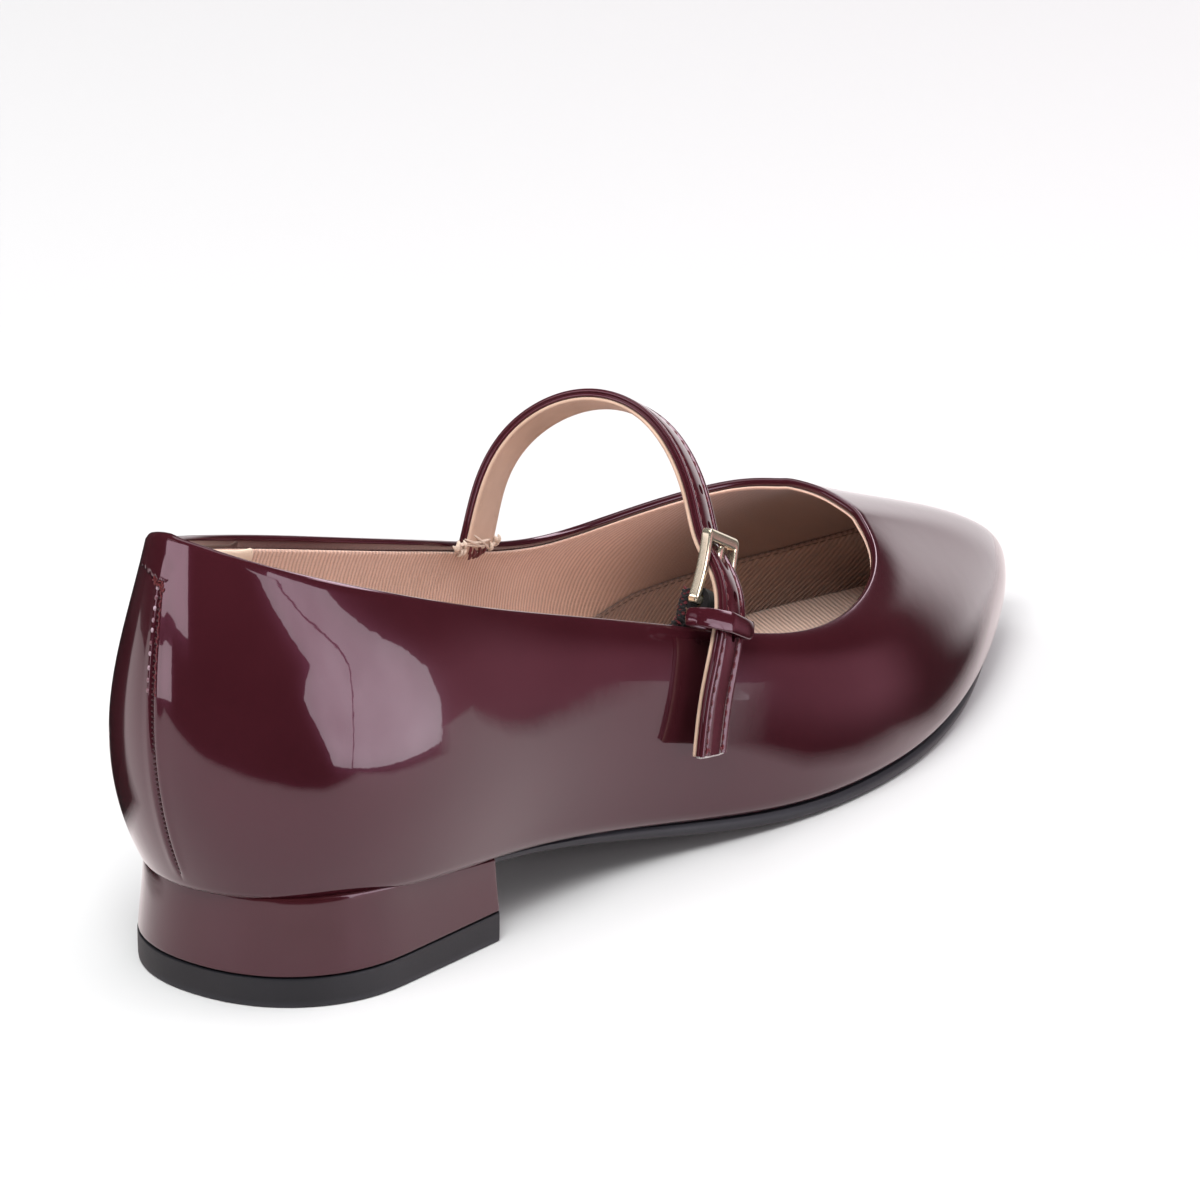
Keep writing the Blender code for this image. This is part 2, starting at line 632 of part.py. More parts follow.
def build_tab(material):
    """Elastic folded round the pin bar, its two layers sewn together inside the topline."""
    bar = -(FRAME_HEIGHT / 2 - FRAME_BAR / 2)
    inside = FRAME_THICK / 2 * 1.12 + GAP
    outside = inside + TAB_LAYER
    centre_out = 0.1
    start, end = math.radians(-62), math.radians(242)
    outer = [(bar + outside * math.sin(turn), centre_out + outside * math.cos(turn))
             for turn in np.linspace(start, end, 17)]
    inner = [(bar + inside * math.sin(turn), centre_out + inside * math.cos(turn))
             for turn in np.linspace(0, 2 * math.pi, 16, endpoint=False)]
    tongue = np.array(TAB_TONGUE)
    way = unit(np.gradient(tongue, axis=0))
    normal = np.stack([-way[:, 1], way[:, 0]], 1)
    inner_side = tongue - normal * -TAB_LAYER
    outer_side = tongue + normal * -TAB_LAYER
    outline = outer + [tuple(p) for p in inner_side] + [tuple(p) for p in outer_side[::-1]]
    return outline, inner


def build_tab_node(material):
    outline, hole = build_tab(material)
    half = TAB_WIDTH / 2

    def plate(points, width):
        def make(mesh):
            ends = [[mesh.verts.new(p) for p in to_world([buckle_point(side * width, *q) for q in points])]
                    for side in (-1, 1)]
            for i in range(len(points)):
                j = (i + 1) % len(points)
                mesh.faces.new((ends[0][i], ends[0][j], ends[1][j], ends[1][i]))
            mesh.faces.new(ends[0])
            mesh.faces.new(ends[1])
        return make

    node = new_object("buckle_tab", plate(outline, half), material)
    cut_with(node, new_object("bar_cutter", plate(hole, half + 1.0), material))
    bar = -(FRAME_HEIGHT / 2 - FRAME_BAR / 2)
    slit = [(bar - 3.6, -4.5), (bar - 3.6, 4.5), (bar + 4.5, 4.5), (bar + 4.5, -4.5)]
    cut_with(node, new_object("slit_cutter", plate(slit, PRONG_RADIUS + GAP + 0.1), material))
    return node


# ---------------------------------------------------------------- the shoe

CENTRE_ALONG = 127.12
CENTRE_ACROSS = 0.08


def clear_scene():
    for item in list(bpy.data.objects):
        bpy.data.objects.remove(item, do_unlink=True)


def main():
    clear_scene()
    burgundy = (0.065, 0.009, 0.016)
    patent = make_material("patent_upper", burgundy, 0.08, coat=1.0)
    build_upper(patent)
    build_insole(make_material("insole_cloth", (0.40, 0.25, 0.19), 0.8))
    build_outsole(make_material("sole_rubber", (0.03, 0.03, 0.035), 0.55))
    build_heel_block(make_material("patent_heel", (0.075, 0.013, 0.018), 0.1, coat=1.0))
    build_top_piece(make_material("top_piece_rubber", (0.028, 0.028, 0.032), 0.6))
    strap_skin = make_material("patent_strap", burgundy, 0.1, coat=1.0)
    strap = build_strap(strap_skin)
    punch_strap(strap, strap_skin)
    build_keeper(make_material("patent_keeper", burgundy, 0.1, coat=1.0))
    gold = (0.86, 0.74, 0.58)
    build_buckle_frame(make_material("buckle_metal", gold, 0.15, metallic=1.0))
    build_prong(make_material("prong_metal", gold, 0.15, metallic=1.0))
    build_tab_node(make_material("tab_elastic", (0.012, 0.012, 0.013), 0.85))


main()
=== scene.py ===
# %% [markdown]
# # A pointed toe flat with an instep strap
# The shoe is a right-foot flat in burgundy patent leather: a seamed upper pulled over a last, a
# ribbed cloth lining, a rubber sole, a low covered heel, and a strap that closes with a pin buckle.
# A shoe is built from flat patterns that are bent round one form, the last, so this lesson does the
# same: most pieces start as a flat grid and are laid on the last by a few shared functions.

# %% Load the frame
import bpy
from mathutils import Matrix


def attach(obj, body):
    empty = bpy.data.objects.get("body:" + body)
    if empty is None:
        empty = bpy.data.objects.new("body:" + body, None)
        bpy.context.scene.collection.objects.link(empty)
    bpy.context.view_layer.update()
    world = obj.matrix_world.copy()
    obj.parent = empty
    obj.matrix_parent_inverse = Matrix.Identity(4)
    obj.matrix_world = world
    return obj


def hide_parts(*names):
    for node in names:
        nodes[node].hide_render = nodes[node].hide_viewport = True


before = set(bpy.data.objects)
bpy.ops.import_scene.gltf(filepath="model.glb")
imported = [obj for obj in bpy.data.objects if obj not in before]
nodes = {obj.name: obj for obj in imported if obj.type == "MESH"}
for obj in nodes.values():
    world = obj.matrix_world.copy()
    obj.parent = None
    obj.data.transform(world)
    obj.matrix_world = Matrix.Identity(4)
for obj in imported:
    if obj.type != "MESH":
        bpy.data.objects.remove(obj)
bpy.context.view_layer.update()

# %% [markdown]
# Operators work on what is selected, so every step starts by choosing its piece and nothing else. A
# job on a mesh, such as welding, is done in edit mode, with the whole piece selected before it.

# %% Tools for every step
import math

import bpy
import numpy as np
from mathutils import Matrix, Vector
from mathutils.kdtree import KDTree

MM = 0.001


def deselect():
    bpy.ops.object.select_all(action="DESELECT")


def add_object(name, data):
    made = bpy.data.objects.new(name, data)
    bpy.context.scene.collection.objects.link(made)
    return made


def pick(piece):
    """Select one piece and nothing else."""
    deselect()
    piece.select_set(True)
    bpy.context.view_layer.objects.active = piece


def in_edit(piece, *jobs):
    """Do jobs in edit mode with the whole piece selected before each."""
    pick(piece)
    bpy.ops.object.mode_set(mode="EDIT")
    for job in jobs:
        bpy.ops.mesh.select_all(action="SELECT")
        job()
    bpy.ops.object.mode_set(mode="OBJECT")


deselect()
print("nodes in the frame:", sorted(nodes))

# %% [markdown]
# ## Mixing finishes
# Every finish, and the glow of the lights, is mixed from nodes. Small helpers keep that short: one
# adds a node and sets its inputs, others make a noise, a colour ramp and a bump. They read the place
# on the piece in metres (Object coordinates) or the piece's own pattern map, so nothing slides when
# the view changes.

# %% Mixing tools
def times(share, colour):
    return tuple(share * part for part in colour)


class Mix:
    """Nodes in the making, for a light, the surroundings or a finish."""

    def __init__(self, owner):
        owner.use_nodes = True
        self.nodes, self.links = owner.node_tree.nodes, owner.node_tree.links

    def set(self, node, **inputs):
        """Set or link inputs. An underscore stands for a space, and _0 for the first input."""
        for field, value in inputs.items():
            socket = node.inputs[int(field[1:]) if field[0] == "_" else field.replace("_", " ")]
            if isinstance(value, bpy.types.NodeSocket):
                self.links.new(value, socket)
            else:
                colour = socket.type == "RGBA" and len(value) == 3
                socket.default_value = (*value, 1) if colour else value

    def node(self, kind, fields=None, **inputs):
        made = self.nodes.new("ShaderNode" + kind)
        for field, value in (fields or {}).items():
            setattr(made, field, value)
        self.set(made, **inputs)
        return made

    def math(self, work, first, second=0.0, third=0.0):
        return self.node("Math", {"operation": work}, _0=first, _1=second, _2=third).outputs[0]

    def show(self, last):
        """Let a node be what is seen."""
        output = next(node for node in self.nodes if node.type.startswith("OUTPUT"))
        self.links.new(last.outputs[0], output.inputs["Surface"])


class Finish(Mix):
    """A material in the making."""

    def __init__(self, name, **inputs):
        self.material = bpy.data.materials.new(name)
        super().__init__(self.material)
        self.shader = self.nodes["Principled BSDF"]
        self.set(self.shader, **inputs)
        self.place = self.node("TexCoord").outputs["Object"]

    def noise(self, scale, detail=2.0, vector=None, stretch=None, roughness=0.5):
        vector = vector or self.place
        if stretch:
            vector = self.node("Mapping", Vector=vector, Scale=stretch).outputs[0]
        return self.node("TexNoise", Vector=vector, Scale=scale, Detail=detail,
                         Roughness=roughness).outputs[0]

    def ramp(self, factor, *stops):
        made = self.node("ValToRGB", Fac=factor)
        for element, (position, colour) in zip(made.color_ramp.elements, stops):
            element.position, element.color = position, (*colour, 1)
        return made.outputs["Color"]

    def blend(self, factor, first, second):
        return self.node("Mix", {"data_type": "RGBA"}, _0=factor, _6=first, _7=second).outputs[2]

    def bump(self, height, distance, strength=1.0, **normal):
        return self.node("Bump", Height=height, Distance=distance, Strength=strength,
                         **normal).outputs[0]

    def shade(self, **inputs):
        """Set the shader's last inputs. The material is ready."""
        self.set(self.shader, **inputs)
        return self.material


print("mixing tools ready")

# %% [markdown]
# ## The place where the shoe stands
# A glossy shoe shows its surroundings more than its own colour, so the studio comes first. The floor
# is one pale board. Only the part of it near the shoe is seen in the patent leather: beyond that the
# real studio is dark, and that dark is what gives the leather its depth. The far board is therefore
# kept out of reflections with its own visibility switch. The near one has a cut outline, and its rim
# fades to nothing, so that no hard edge shows in the leather.

# %% Floor
def cut_board(name, corners):
    """A flat board with a free outline: a filled circle whose points are moved."""
    bpy.ops.mesh.primitive_circle_add(vertices=len(corners), fill_type="NGON")
    board = bpy.context.object
    board.name = name
    for vertex, place in zip(board.data.vertices, corners):
        vertex.co = place
    return board


def only_for_mirrors(board):
    board.visible_camera = board.visible_diffuse = board.visible_shadow = False


def floor_paint(name, colour):
    return Finish(name, Base_Color=colour, Roughness=0.6, Specular_IOR_Level=0.1)


bpy.ops.mesh.primitive_plane_add(size=9.0, location=(0, 0, -0.00002))
far_floor = bpy.context.object
far_floor.name = "far_floor"
far_floor.visible_glossy = False
far_paint = floor_paint("floor_white", (0.560, 0.571, 0.569))

NEAR_FLOOR = (
    (0.44, 0.14), (0.41, 0.28), (0.10, 0.31), (0.03, 0.265), (-0.02, 0.23), (-0.055, 0.208),
    (-0.092, 0.17), (-0.118, 0.12), (-0.16, 0.07), (-0.14, 0.03), (-0.128, -0.005),
    (-0.175, -0.05), (-0.175, -0.108), (-0.112, -0.057), (-0.070, -0.026), (-0.059, -0.032),
    (-0.053, -0.048), (-0.049, -0.066), (-0.040, -0.080), (-0.026, -0.120), (-0.012, -0.165),
    (0.02, -0.24), (0.12, -0.22), (0.12, 0.05), (0.07, 0.075), (0.07, 0.125))
RIM_WIDTH = 0.012
near_floor = cut_board("near_floor", [(*place, 0.0) for place in NEAR_FLOOR])
in_edit(near_floor, lambda: bpy.ops.mesh.inset(thickness=RIM_WIDTH, depth=0.0))
solid = near_floor.data.attributes.new("solid", "FLOAT", "POINT")
for number, point in enumerate(solid.data):
    point.value = number >= len(NEAR_FLOOR)      # the outer corners come first and are 0
only_for_mirrors(near_floor)
near_paint = floor_paint("floor_white_soft", (0.60, 0.55, 0.545))
near_paint.show(near_paint.node(
    "MixShader", _0=near_paint.node("Attribute", {"attribute_name": "solid"}).outputs["Fac"],
    _1=near_paint.node("BsdfTransparent").outputs[0], _2=near_paint.shader.outputs[0]))

for board, paint in ((far_floor, far_paint), (near_floor, near_paint)):
    board.data.materials.append(paint.material)
    pick(board)
    bpy.ops.object.transform_apply()
if near_floor.data.polygons[0].normal.z < 0:
    near_floor.data.flip_normals()
print("floor boards:", far_floor.name, near_floor.name)

# %% [markdown]
# ## Light
# Soft boxes are flat panels of light. The ones with glossy=False give the shoe its soft daylight and
# never show in the leather. The others stand where the leather should mirror them: one beyond the toe,
# narrow ones behind the back seam, and cards for the rim and the buckle. Each is aimed with
# to_track_quat, which turns its lit side (its -Z side) to the shoe. A feather lets the glow fade
# toward the panel's edges, as the cloth of a large soft box does.

# %% Soft boxes
def toward(azimuth, elevation=0.0):
    """The direction of a place seen from the shoe, in degrees."""
    azimuth, elevation = math.radians(azimuth), math.radians(elevation)
    return Vector((math.sin(azimuth) * math.cos(elevation), -math.cos(azimuth) * math.cos(elevation),
                   math.sin(elevation)))


def feather_edges(data, feather):
    panel = Mix(data)
    place = panel.node("SeparateXYZ", Vector=panel.node("NewGeometry").outputs["Parametric"])
    fades = [panel.node("MapRange", {"interpolation_type": "SMOOTHSTEP"}, From_Max=feather,
                        Value=panel.math("PINGPONG", place.outputs[axis], 0.5)).outputs[0]
             for axis in (0, 1)]
    panel.set(panel.nodes["Emission"], Strength=panel.math("MULTIPLY", *fades))


def soft_box(name, aim, way, distance, size, glow, colour=(1, 1, 1), turn=0.0, glossy=True,
             feather=0.0):
    """A lit panel seen from the aim point in a direction, with a glow of white = 1."""
    data = bpy.data.lights.new(name, "AREA")
    data.shape = "RECTANGLE"
    data.size, data.size_y = size
    data.energy = glow * size[0] * size[1] * math.pi
    data.color = colour
    box = add_object(name, data)
    box.location = Vector(aim) + toward(*way) * distance
    box.rotation_euler = ((-toward(*way)).to_track_quat("-Z", "Y").to_matrix()
                          @ Matrix.Rotation(math.radians(turn), 3, "Z")).to_euler()
    box.visible_camera = False
    box.visible_glossy = glossy
    if feather:
        feather_edges(data, feather)


QUARTER, TOE, HEEL_BACK = (-0.03, 0.07, 0.05), (-0.005, -0.09, 0.03), (0.0, 0.127, 0.06)
INNER_SIDE, INSIDE_HEEL, INSIDE_TOE = (0.03, 0.0, 0.05), (0.0, -0.01, 0.03), (0.0, -0.05, 0.02)
ROSE = (1.0, 0.86, 0.93)
soft_box("side_box_rear", QUARTER, (273, 3), 0.80, (0.28, 0.62), 4.4, ROSE, glossy=False)
soft_box("side_box_front", QUARTER, (293, -7), 0.84, (0.62, 0.42), 4.4, ROSE, -28, glossy=False)
soft_box("backdrop", TOE, (38, 0), 1.00, (2.20, 0.78), 1.12, (1.0, 0.935, 0.95), feather=0.26)
soft_box("seam_strip", HEEL_BACK, (163, 13), 0.90, (0.48, 0.42), 4.2, ROSE)
soft_box("seam_strip_low", HEEL_BACK, (153.5, -9), 0.90, (0.15, 0.16), 4.0, ROSE)
soft_box("bar_card", HEEL_BACK, (155, 38), 0.90, (0.50, 0.22), 1.2, ROSE, feather=0.3)
soft_box("rosy_card", TOE, (318, -10), 1.20, (1.30, 0.80), 0.60, (1.0, 0.42, 0.55), feather=0.4)
soft_box("rim_card", (0.0, 0.0, 0.06), (342, 38), 1.00, (1.50, 0.26), 6.5, ROSE, feather=0.2)
soft_box("inner_box", INNER_SIDE, (85, 28), 0.95, (0.60, 0.55), 2.2, glossy=False)
soft_box("inside_box", INSIDE_HEEL, (240, 68), 0.95, (0.50, 0.50), 1.6, glossy=False)
soft_box("inside_low", INSIDE_TOE, (200, 51), 0.95, (0.42, 0.40), 17.0, glossy=False)
soft_box("top_box", (0.0, 0.0, 0.05), (20, 80), 1.20, (0.90, 0.90), 1.8)
print("soft boxes:", [light.name for light in bpy.data.lights])

# %% [markdown]
# The big highlight on the outer quarter is the reflection of two hanging cloths with a narrow gap
# between them. They are panels that only mirrors see, so their outline can be cut to shape without
# changing the brightness of the room, and a noise lets them shine a little unevenly.

# %% Panels of lit cloth
def lit_cloth(name, colour, glow):
    cloth = Finish(name)
    cloth.nodes.remove(cloth.shader)
    level = cloth.node("MapRange", Value=cloth.noise(11.0), From_Min=0.35, From_Max=0.65,
                       To_Min=0.84 * glow, To_Max=1.06 * glow).outputs[0]
    cloth.show(cloth.node("Emission", Color=colour, Strength=level))
    return cloth.material


def cloth_panel(name, finish, outline):
    """An upright panel at the outer side. Its outline is in millimetres (to the right, up)."""
    azimuth, distance = 287, 0.32
    right = toward(azimuth + 90)
    middle = Vector(QUARTER) + toward(azimuth) * distance
    panel = cut_board(name, [middle + right * across * MM + Vector((0, 0, up * MM))
                             for across, up in outline])
    panel.data.materials.append(finish)
    only_for_mirrors(panel)


rose_cloth = lit_cloth("rose_cloth", (0.95, 0.88, 0.95), 4.4)
# the gap between the two cloths, from the top down
CLOTH_GAP = ((-200, 150), (-117, 108), (-83, 90), (-50, 73), (-31, 58), (-17, 40), (-24, 12),
             (-33, -18), (-41, -48), (-58, -110))
FRONT_EDGE = ((152, -110), (146, -48), (131, -4), (100, 28), (70, 46), (0, 90), (-60, 135),
              (-160, 190))
REAR_EDGE = ((-330, 210), (-262, 150), (-235, 135), (-180, 100), (-150, 75), (-120, 50),
             (-150, 30), (-177, 5), (-165, -20), (-150, -40), (-130, -75), (-115, -110))
cloth_panel("cloth_front", rose_cloth,
            [(across + 1.7, up + 0.8) for across, up in CLOTH_GAP] + list(FRONT_EDGE))
cloth_panel("cloth_rear", rose_cloth,
            [(across - 1.7, up - 0.8) for across, up in CLOTH_GAP[::-1]] + list(REAR_EDGE))
print("corners of the cloths:", len(CLOTH_GAP + FRONT_EDGE), "and", len(CLOTH_GAP + REAR_EDGE))

# %% [markdown]
# A dark cloth is the opposite of a lamp: what mirrors it turns dark. One stands at the inner side,
# so that the back edge of the heel does not shine white.

# %% Black flag
flag_cloth = Finish("flag_cloth", Base_Color=(0.02, 0.012, 0.013), Roughness=0.9).material
bpy.ops.mesh.primitive_plane_add(size=1, location=(0.265, -0.014, 0.03),
                                 rotation=(math.pi / 2, 0, math.radians(62)))
flag = bpy.context.object
flag.name = "black_flag"
flag.scale = (0.32, 0.26, 1)
bpy.ops.object.transform_apply()
flag.data.materials.append(flag_cloth)
only_for_mirrors(flag)
print("black flag:", [round(side, 2) for side in flag.dimensions], "m")

# %% [markdown]
# The surroundings have three brightnesses. The camera sees a pale backdrop, mirrors see almost
# nothing, and everything else gets an even, dim light. Light Path tells the three apart.

# %% Dim surroundings
world = bpy.data.worlds.new("studio")
bpy.context.scene.world = world
around = Mix(world)
backdrop = around.nodes["Background"]
around.set(backdrop, Color=(0.90, 0.91, 0.92), Strength=0.95)
dim, dark = (around.node("Background", Color=(1, 1, 1), Strength=glow).outputs[0]
             for glow in (0.50, 0.02))
ray = around.node("LightPath").outputs
unseen = around.node("MixShader", _0=ray["Is Glossy Ray"], _1=dim, _2=dark).outputs[0]
around.show(around.node("MixShader", _0=ray["Is Camera Ray"], _1=unseen, _2=backdrop.outputs[0]))
print("surroundings:", len(around.nodes), "nodes")

# %% [markdown]
# ## Camera
# A long lens from behind the heel and a little above, as a shop shows a shoe: the outer side,
# the back seam and the inside are all in view. The Standard view transform keeps whites white.

# %% Camera
camera_data = bpy.data.cameras.new("camera")
camera = add_object("camera", camera_data)
camera.location = (-0.9072, 1.1610, 0.5684)
AIM = Vector((0.0035, -0.0010, 0.0395))
camera.rotation_euler = (AIM - camera.location).to_track_quat("-Z", "Y").to_euler()
camera_data.lens = 252.0
camera_data.sensor_width = 36.0
camera_data.clip_end = 20.0
bpy.context.scene.camera = camera
bpy.context.scene.view_settings.view_transform = "Standard"
print("camera is", round((AIM - camera.location).length, 3), "m from the shoe")

# %% [markdown]
# ## The last
# A last is the foot-shaped form a shoe is made on. Here it is a ring of twenty stations round the
# foot. Each station starts at the feather line, where the wall turns under the foot, leans outward as
# it rises, passes a shoulder point and ends at the topline. A closed spline joins the stations, so a
# place on the last is two numbers: millimetres round the feather line, and a share of the height.
# Along runs from heel to toe, across is positive to the outer side, up is the height over the floor.

# %% Tables of the last
ROLL = 2.3                # radius of the turn under the foot
MARGIN = 4.0              # lasting margin under the insole
FLAT_BALL = 3.1
POINT_EASE, POINT_REACH = 0.5, 9.0
CENTRE_ALONG, CENTRE_ACROSS = 127.12, 0.08
TOE_STATION = 10
# feather along, across; lean, rise; shoulder along, across, up; topline along, across, up
STATIONS = np.array((
    (5.5, -1.0, 0.50, 21.5, -2.5, -0.5, 64.5, 3.5, -1.5, 87.0),
    (13.0, 16.5, 0.44, 22.0, 6.0, 18.0, 62.0, 10.0, 12.0, 83.5),
    (32.0, 26.0, 0.30, 20.0, 31.0, 28.0, 58.0, 31.5, 22.0, 74.5),
    (70.0, 26.0, 0.25, 18.0, 70.0, 29.5, 50.0, 69.0, 24.5, 60.5),
    (110.0, 29.0, 0.22, 16.0, 110.0, 32.0, 42.0, 108.0, 27.5, 47.5),
    (149.5, 36.0, 0.20, 14.0, 146.0, 36.5, 36.0, 142.0, 32.0, 37.5),
    (185.0, 33.0, 0.15, 13.0, 174.0, 33.0, 33.0, 168.0, 27.5, 36.0),
    (214.0, 23.0, 0.12, 12.0, 196.0, 23.0, 33.0, 184.5, 18.5, 38.5),
    (241.0, 9.0, 0.12, 12.0, 210.0, 10.5, 35.0, 191.0, 10.5, 42.0),
    (252.4, 1.2, 0.13, 12.0, 214.0, 5.3, 35.4, 191.7, 6.0, 44.0),
    (256.0, -3.5, 0.14, 12.0, 215.5, 0.0, 35.5, 191.2, 1.4, 45.6),
    (252.2, -8.2, 0.13, 12.0, 214.0, -5.3, 35.4, 190.0, -2.8, 46.6),
    (240.0, -15.1, 0.12, 12.0, 210.0, -11.5, 35.6, 188.0, -6.5, 47.0),
    (217.0, -27.0, 0.13, 12.5, 197.0, -22.5, 35.5, 182.0, -13.5, 46.8),
    (190.0, -36.2, 0.16, 13.5, 175.0, -33.0, 35.5, 165.5, -22.5, 44.5),
    (154.5, -35.5, 0.20, 14.0, 146.0, -36.5, 36.0, 142.0, -28.0, 43.5),
    (112.0, -26.0, 0.30, 18.0, 110.0, -31.0, 44.0, 109.0, -26.0, 52.0),
    (70.0, -24.0, 0.35, 20.0, 70.0, -28.5, 52.0, 70.0, -24.0, 64.0),
    (32.0, -26.0, 0.30, 20.0, 31.5, -27.5, 57.5, 32.0, -22.0, 75.0),
    (12.5, -17.5, 0.44, 21.5, 8.0, -17.0, 61.0, 11.0, -12.5, 82.5)))
# underside of the upper: heel seat, arch, flat ball and toe spring (along, up)
BOTTOM = np.array((
    (0.0, 20.5), (24.0, 18.8), (56.0, 15.7), (92.0, 10.6), (122.0, 5.6), (142.0, 3.5),
    (160.0, 3.1), (180.0, 3.2), (205.0, 4.4), (232.0, 6.6), (258.0, 9.8)))
FEATHER = STATIONS[:, :2]


def lengths_along(line):
    """Distance from the first point to each point of a line."""
    return np.concatenate([[0.0], np.cumsum(np.linalg.norm(np.diff(line, axis=0), axis=1))])


KNOTS = lengths_along(np.vstack([FEATHER, FEATHER[:1]]))
ROUND, TOE_PLACE = KNOTS[-1], KNOTS[TOE_STATION]
print("round the feather line:", round(ROUND), "mm, toe point at", round(TOE_PLACE), "mm")

# %% [markdown]
# A cubic spline gives a curve without kinks through a few measured points. The closed one is used
# round the shoe, and the open one along it. It solves one equation a point, so that each piece of
# the curve meets the next with the same slope and the same bend.

# %% Splines
def spline(knots, values, at, closed=False):
    """Values at places between the knots. A closed spline's last knot is its first again."""
    count, step = len(values), np.diff(knots)
    system, right = np.zeros((count, count)), np.zeros_like(values)
    for i in range(count):
        if not closed and i in (0, count - 1):
            system[i, i] = 1.0
            continue
        before, after = (i - 1) % count, (i + 1) % count
        system[i, before] += step[before]
        system[i, i] += 2 * (step[before] + step[i])
        system[i, after] += step[i]
        right[i] = 6 * ((values[after] - values[i]) / step[i]
                        - (values[i] - values[before]) / step[before])
    bend = np.linalg.solve(system, right)
    if closed:
        at = np.mod(at, knots[-1])
    i = np.clip(np.searchsorted(knots, at, side="right") - 1, 0, len(knots) - 2)
    j = (i + 1) % count
    width, done, left = knots[i + 1] - knots[i], at - knots[i], knots[i + 1] - at
    if values.ndim > 1:
        width, done, left = width[:, None], done[:, None], left[:, None]
    return ((bend[i] * left**3 + bend[j] * done**3) / (6 * width)
            + (values[i] / width - bend[i] * width / 6) * left
            + (values[j] / width - bend[j] * width / 6) * done)


def bezier(share, first, second, third, fourth):
    """A curve from the first point to the fourth that heads for the second and the third."""
    rest = 1 - share
    return (rest**3 * first + 3 * share * rest**2 * second + 3 * share**2 * rest * third
            + share**3 * fourth)


def ease(share):
    """From 0 to 1 with a soft start and end."""
    share = np.clip(share, 0, 1)
    return share * share * (3 - 2 * share)


def bump_at(value, middle, width):
    """1 at the middle, fading to 0 on both sides."""
    return np.exp(-((value - middle) / width)**2)


def bottom_height(along):
    draft = spline(BOTTOM[:, 0], BOTTOM[:, 1], np.asarray(along, float))
    return np.maximum(draft, FLAT_BALL)


def unit(vectors):
    return vectors / np.linalg.norm(vectors, axis=-1, keepdims=True)


def direction(vectors):
    """A direction on the last, turned into the frame's axes."""
    along, across, up = np.moveaxis(np.asarray(vectors, float), -1, 0)
    return np.stack([-across, -along, up], -1)


def to_world(points):
    """(along, across, up) in millimetres to the frame's metres."""
    return (direction(points) + (CENTRE_ACROSS, CENTRE_ALONG, 0.0)) * MM


print("underside at the heel and the ball:", bottom_height(np.array([5.0, 160.0])).round(1), "mm")

# %% [markdown]
# The wall of the last is a curve at each place: it starts at the feather line, rises with the
# station's lean, and bends over the shoulder to the topline. Its thickness direction comes from two
# tiny steps, one round the shoe and one up the wall: their cross product points straight out.
# Real patent leather is never a perfect surface, so the skin swells and sinks by a few hundredths of
# a millimetre, which is enough to bend the edges of its reflections.

# %% The skin of the last
UP = np.array([0.0, 0.0, 1.0])


def stations_at(places):
    """At each place: the spline's row, the way out, the feather point and the tuck at the toe."""
    places = np.asarray(places, float)
    value = spline(KNOTS, STATIONS, places, closed=True)
    way = unit(spline(KNOTS, FEATHER, places + 0.01, closed=True)
               - spline(KNOTS, FEATHER, places - 0.01, closed=True))
    outward = np.column_stack([-way[:, 1], way[:, 0], np.zeros(len(places))])
    foot = np.column_stack([value[:, :2], bottom_height(value[:, 0]) + ROLL])
    from_point = np.linalg.norm(foot[:, :2] - FEATHER[TOE_STATION], axis=1)
    return value, outward, foot, 1 - POINT_EASE * bump_at(from_point, 0, POINT_REACH)[:, None]


def wall_point(places, shares):
    """Outer face, from the feather line at share 0 to the topline at share 1."""
    value, outward, foot, _ = stations_at(places)
    rising = foot + (UP + outward * value[:, 2:3]) * value[:, 3:4]
    return bezier(np.asarray(shares, float)[:, None], foot, rising, value[:, 4:7], value[:, 7:10])


def under_point(places, inset):
    """Flat under the foot, a given way in from the feather line."""
    _, outward, foot, tuck = stations_at(places)
    point = foot - outward * inset * tuck
    point[:, 2] = bottom_height(point[:, 0])
    return point


def roll_point(places, share):
    """The turn under the foot, from the flat underside at 0 to the feather line at 1."""
    value, outward, foot, _ = stations_at(places)
    grip = 0.55 * ROLL
    start = under_point(places, ROLL)
    return bezier(share, start, start + outward * grip, foot - (UP + outward * value[:, 2:3]) * grip,
                  foot)


def swell(points):
    """Slow, shallow unevenness of the leather, in millimetres."""
    along, across, up = points.T
    return (0.035 * np.sin(along / 8.1 + 0.9 * np.sin(up / 7.3) + 0.4)
            + 0.024 * np.sin(up / 6.3 + across / 9.0 + 1.3 * np.sin(along / 17.0))
            + 0.003 * np.sin(along / 4.9 - up / 6.1 + across / 6.0 + 2.0))


def skin(places, shares, depth=0.0):
    """A point a little under the outer face (or over it, where depth is negative)."""
    places, shares = np.asarray(places, float), np.asarray(shares, float)
    here = wall_point(places, shares)
    round_way = wall_point(places + 0.05, shares) - wall_point(places - 0.05, shares)
    up_way = wall_point(places, shares + 0.002) - wall_point(places, shares - 0.002)
    out = unit(np.cross(up_way, round_way))
    return here + out * (swell(here) - depth)[:, None], out


middle, out = skin([KNOTS[3]], [0.5])
print("middle of the outer waist:", middle[0].round(1), "mm, facing", out[0].round(2))

# %% [markdown]
# The topline is a folded edge: the leather turns over a round rim and comes down a few millimetres
# inside. The collar function follows that path by its length in millimetres: below zero it is
# outside, round zero it is on the rim, and above zero it is inside. To know how far a share of the
# wall is from the topline, every place gets a small table of lengths.

# %% The folded topline
RIM = 0.8                 # radius of the folded edge
HALF_TURN = math.pi * RIM / 2
LENGTH_STEPS = 48


def wall_steps(places, shares):
    """Lengths of the wall from each share to the next, one row a place."""
    grid = wall_point(np.repeat(places, len(shares)), np.tile(shares, len(places)))
    return np.linalg.norm(np.diff(grid.reshape(len(places), len(shares), 3), axis=1), axis=2)


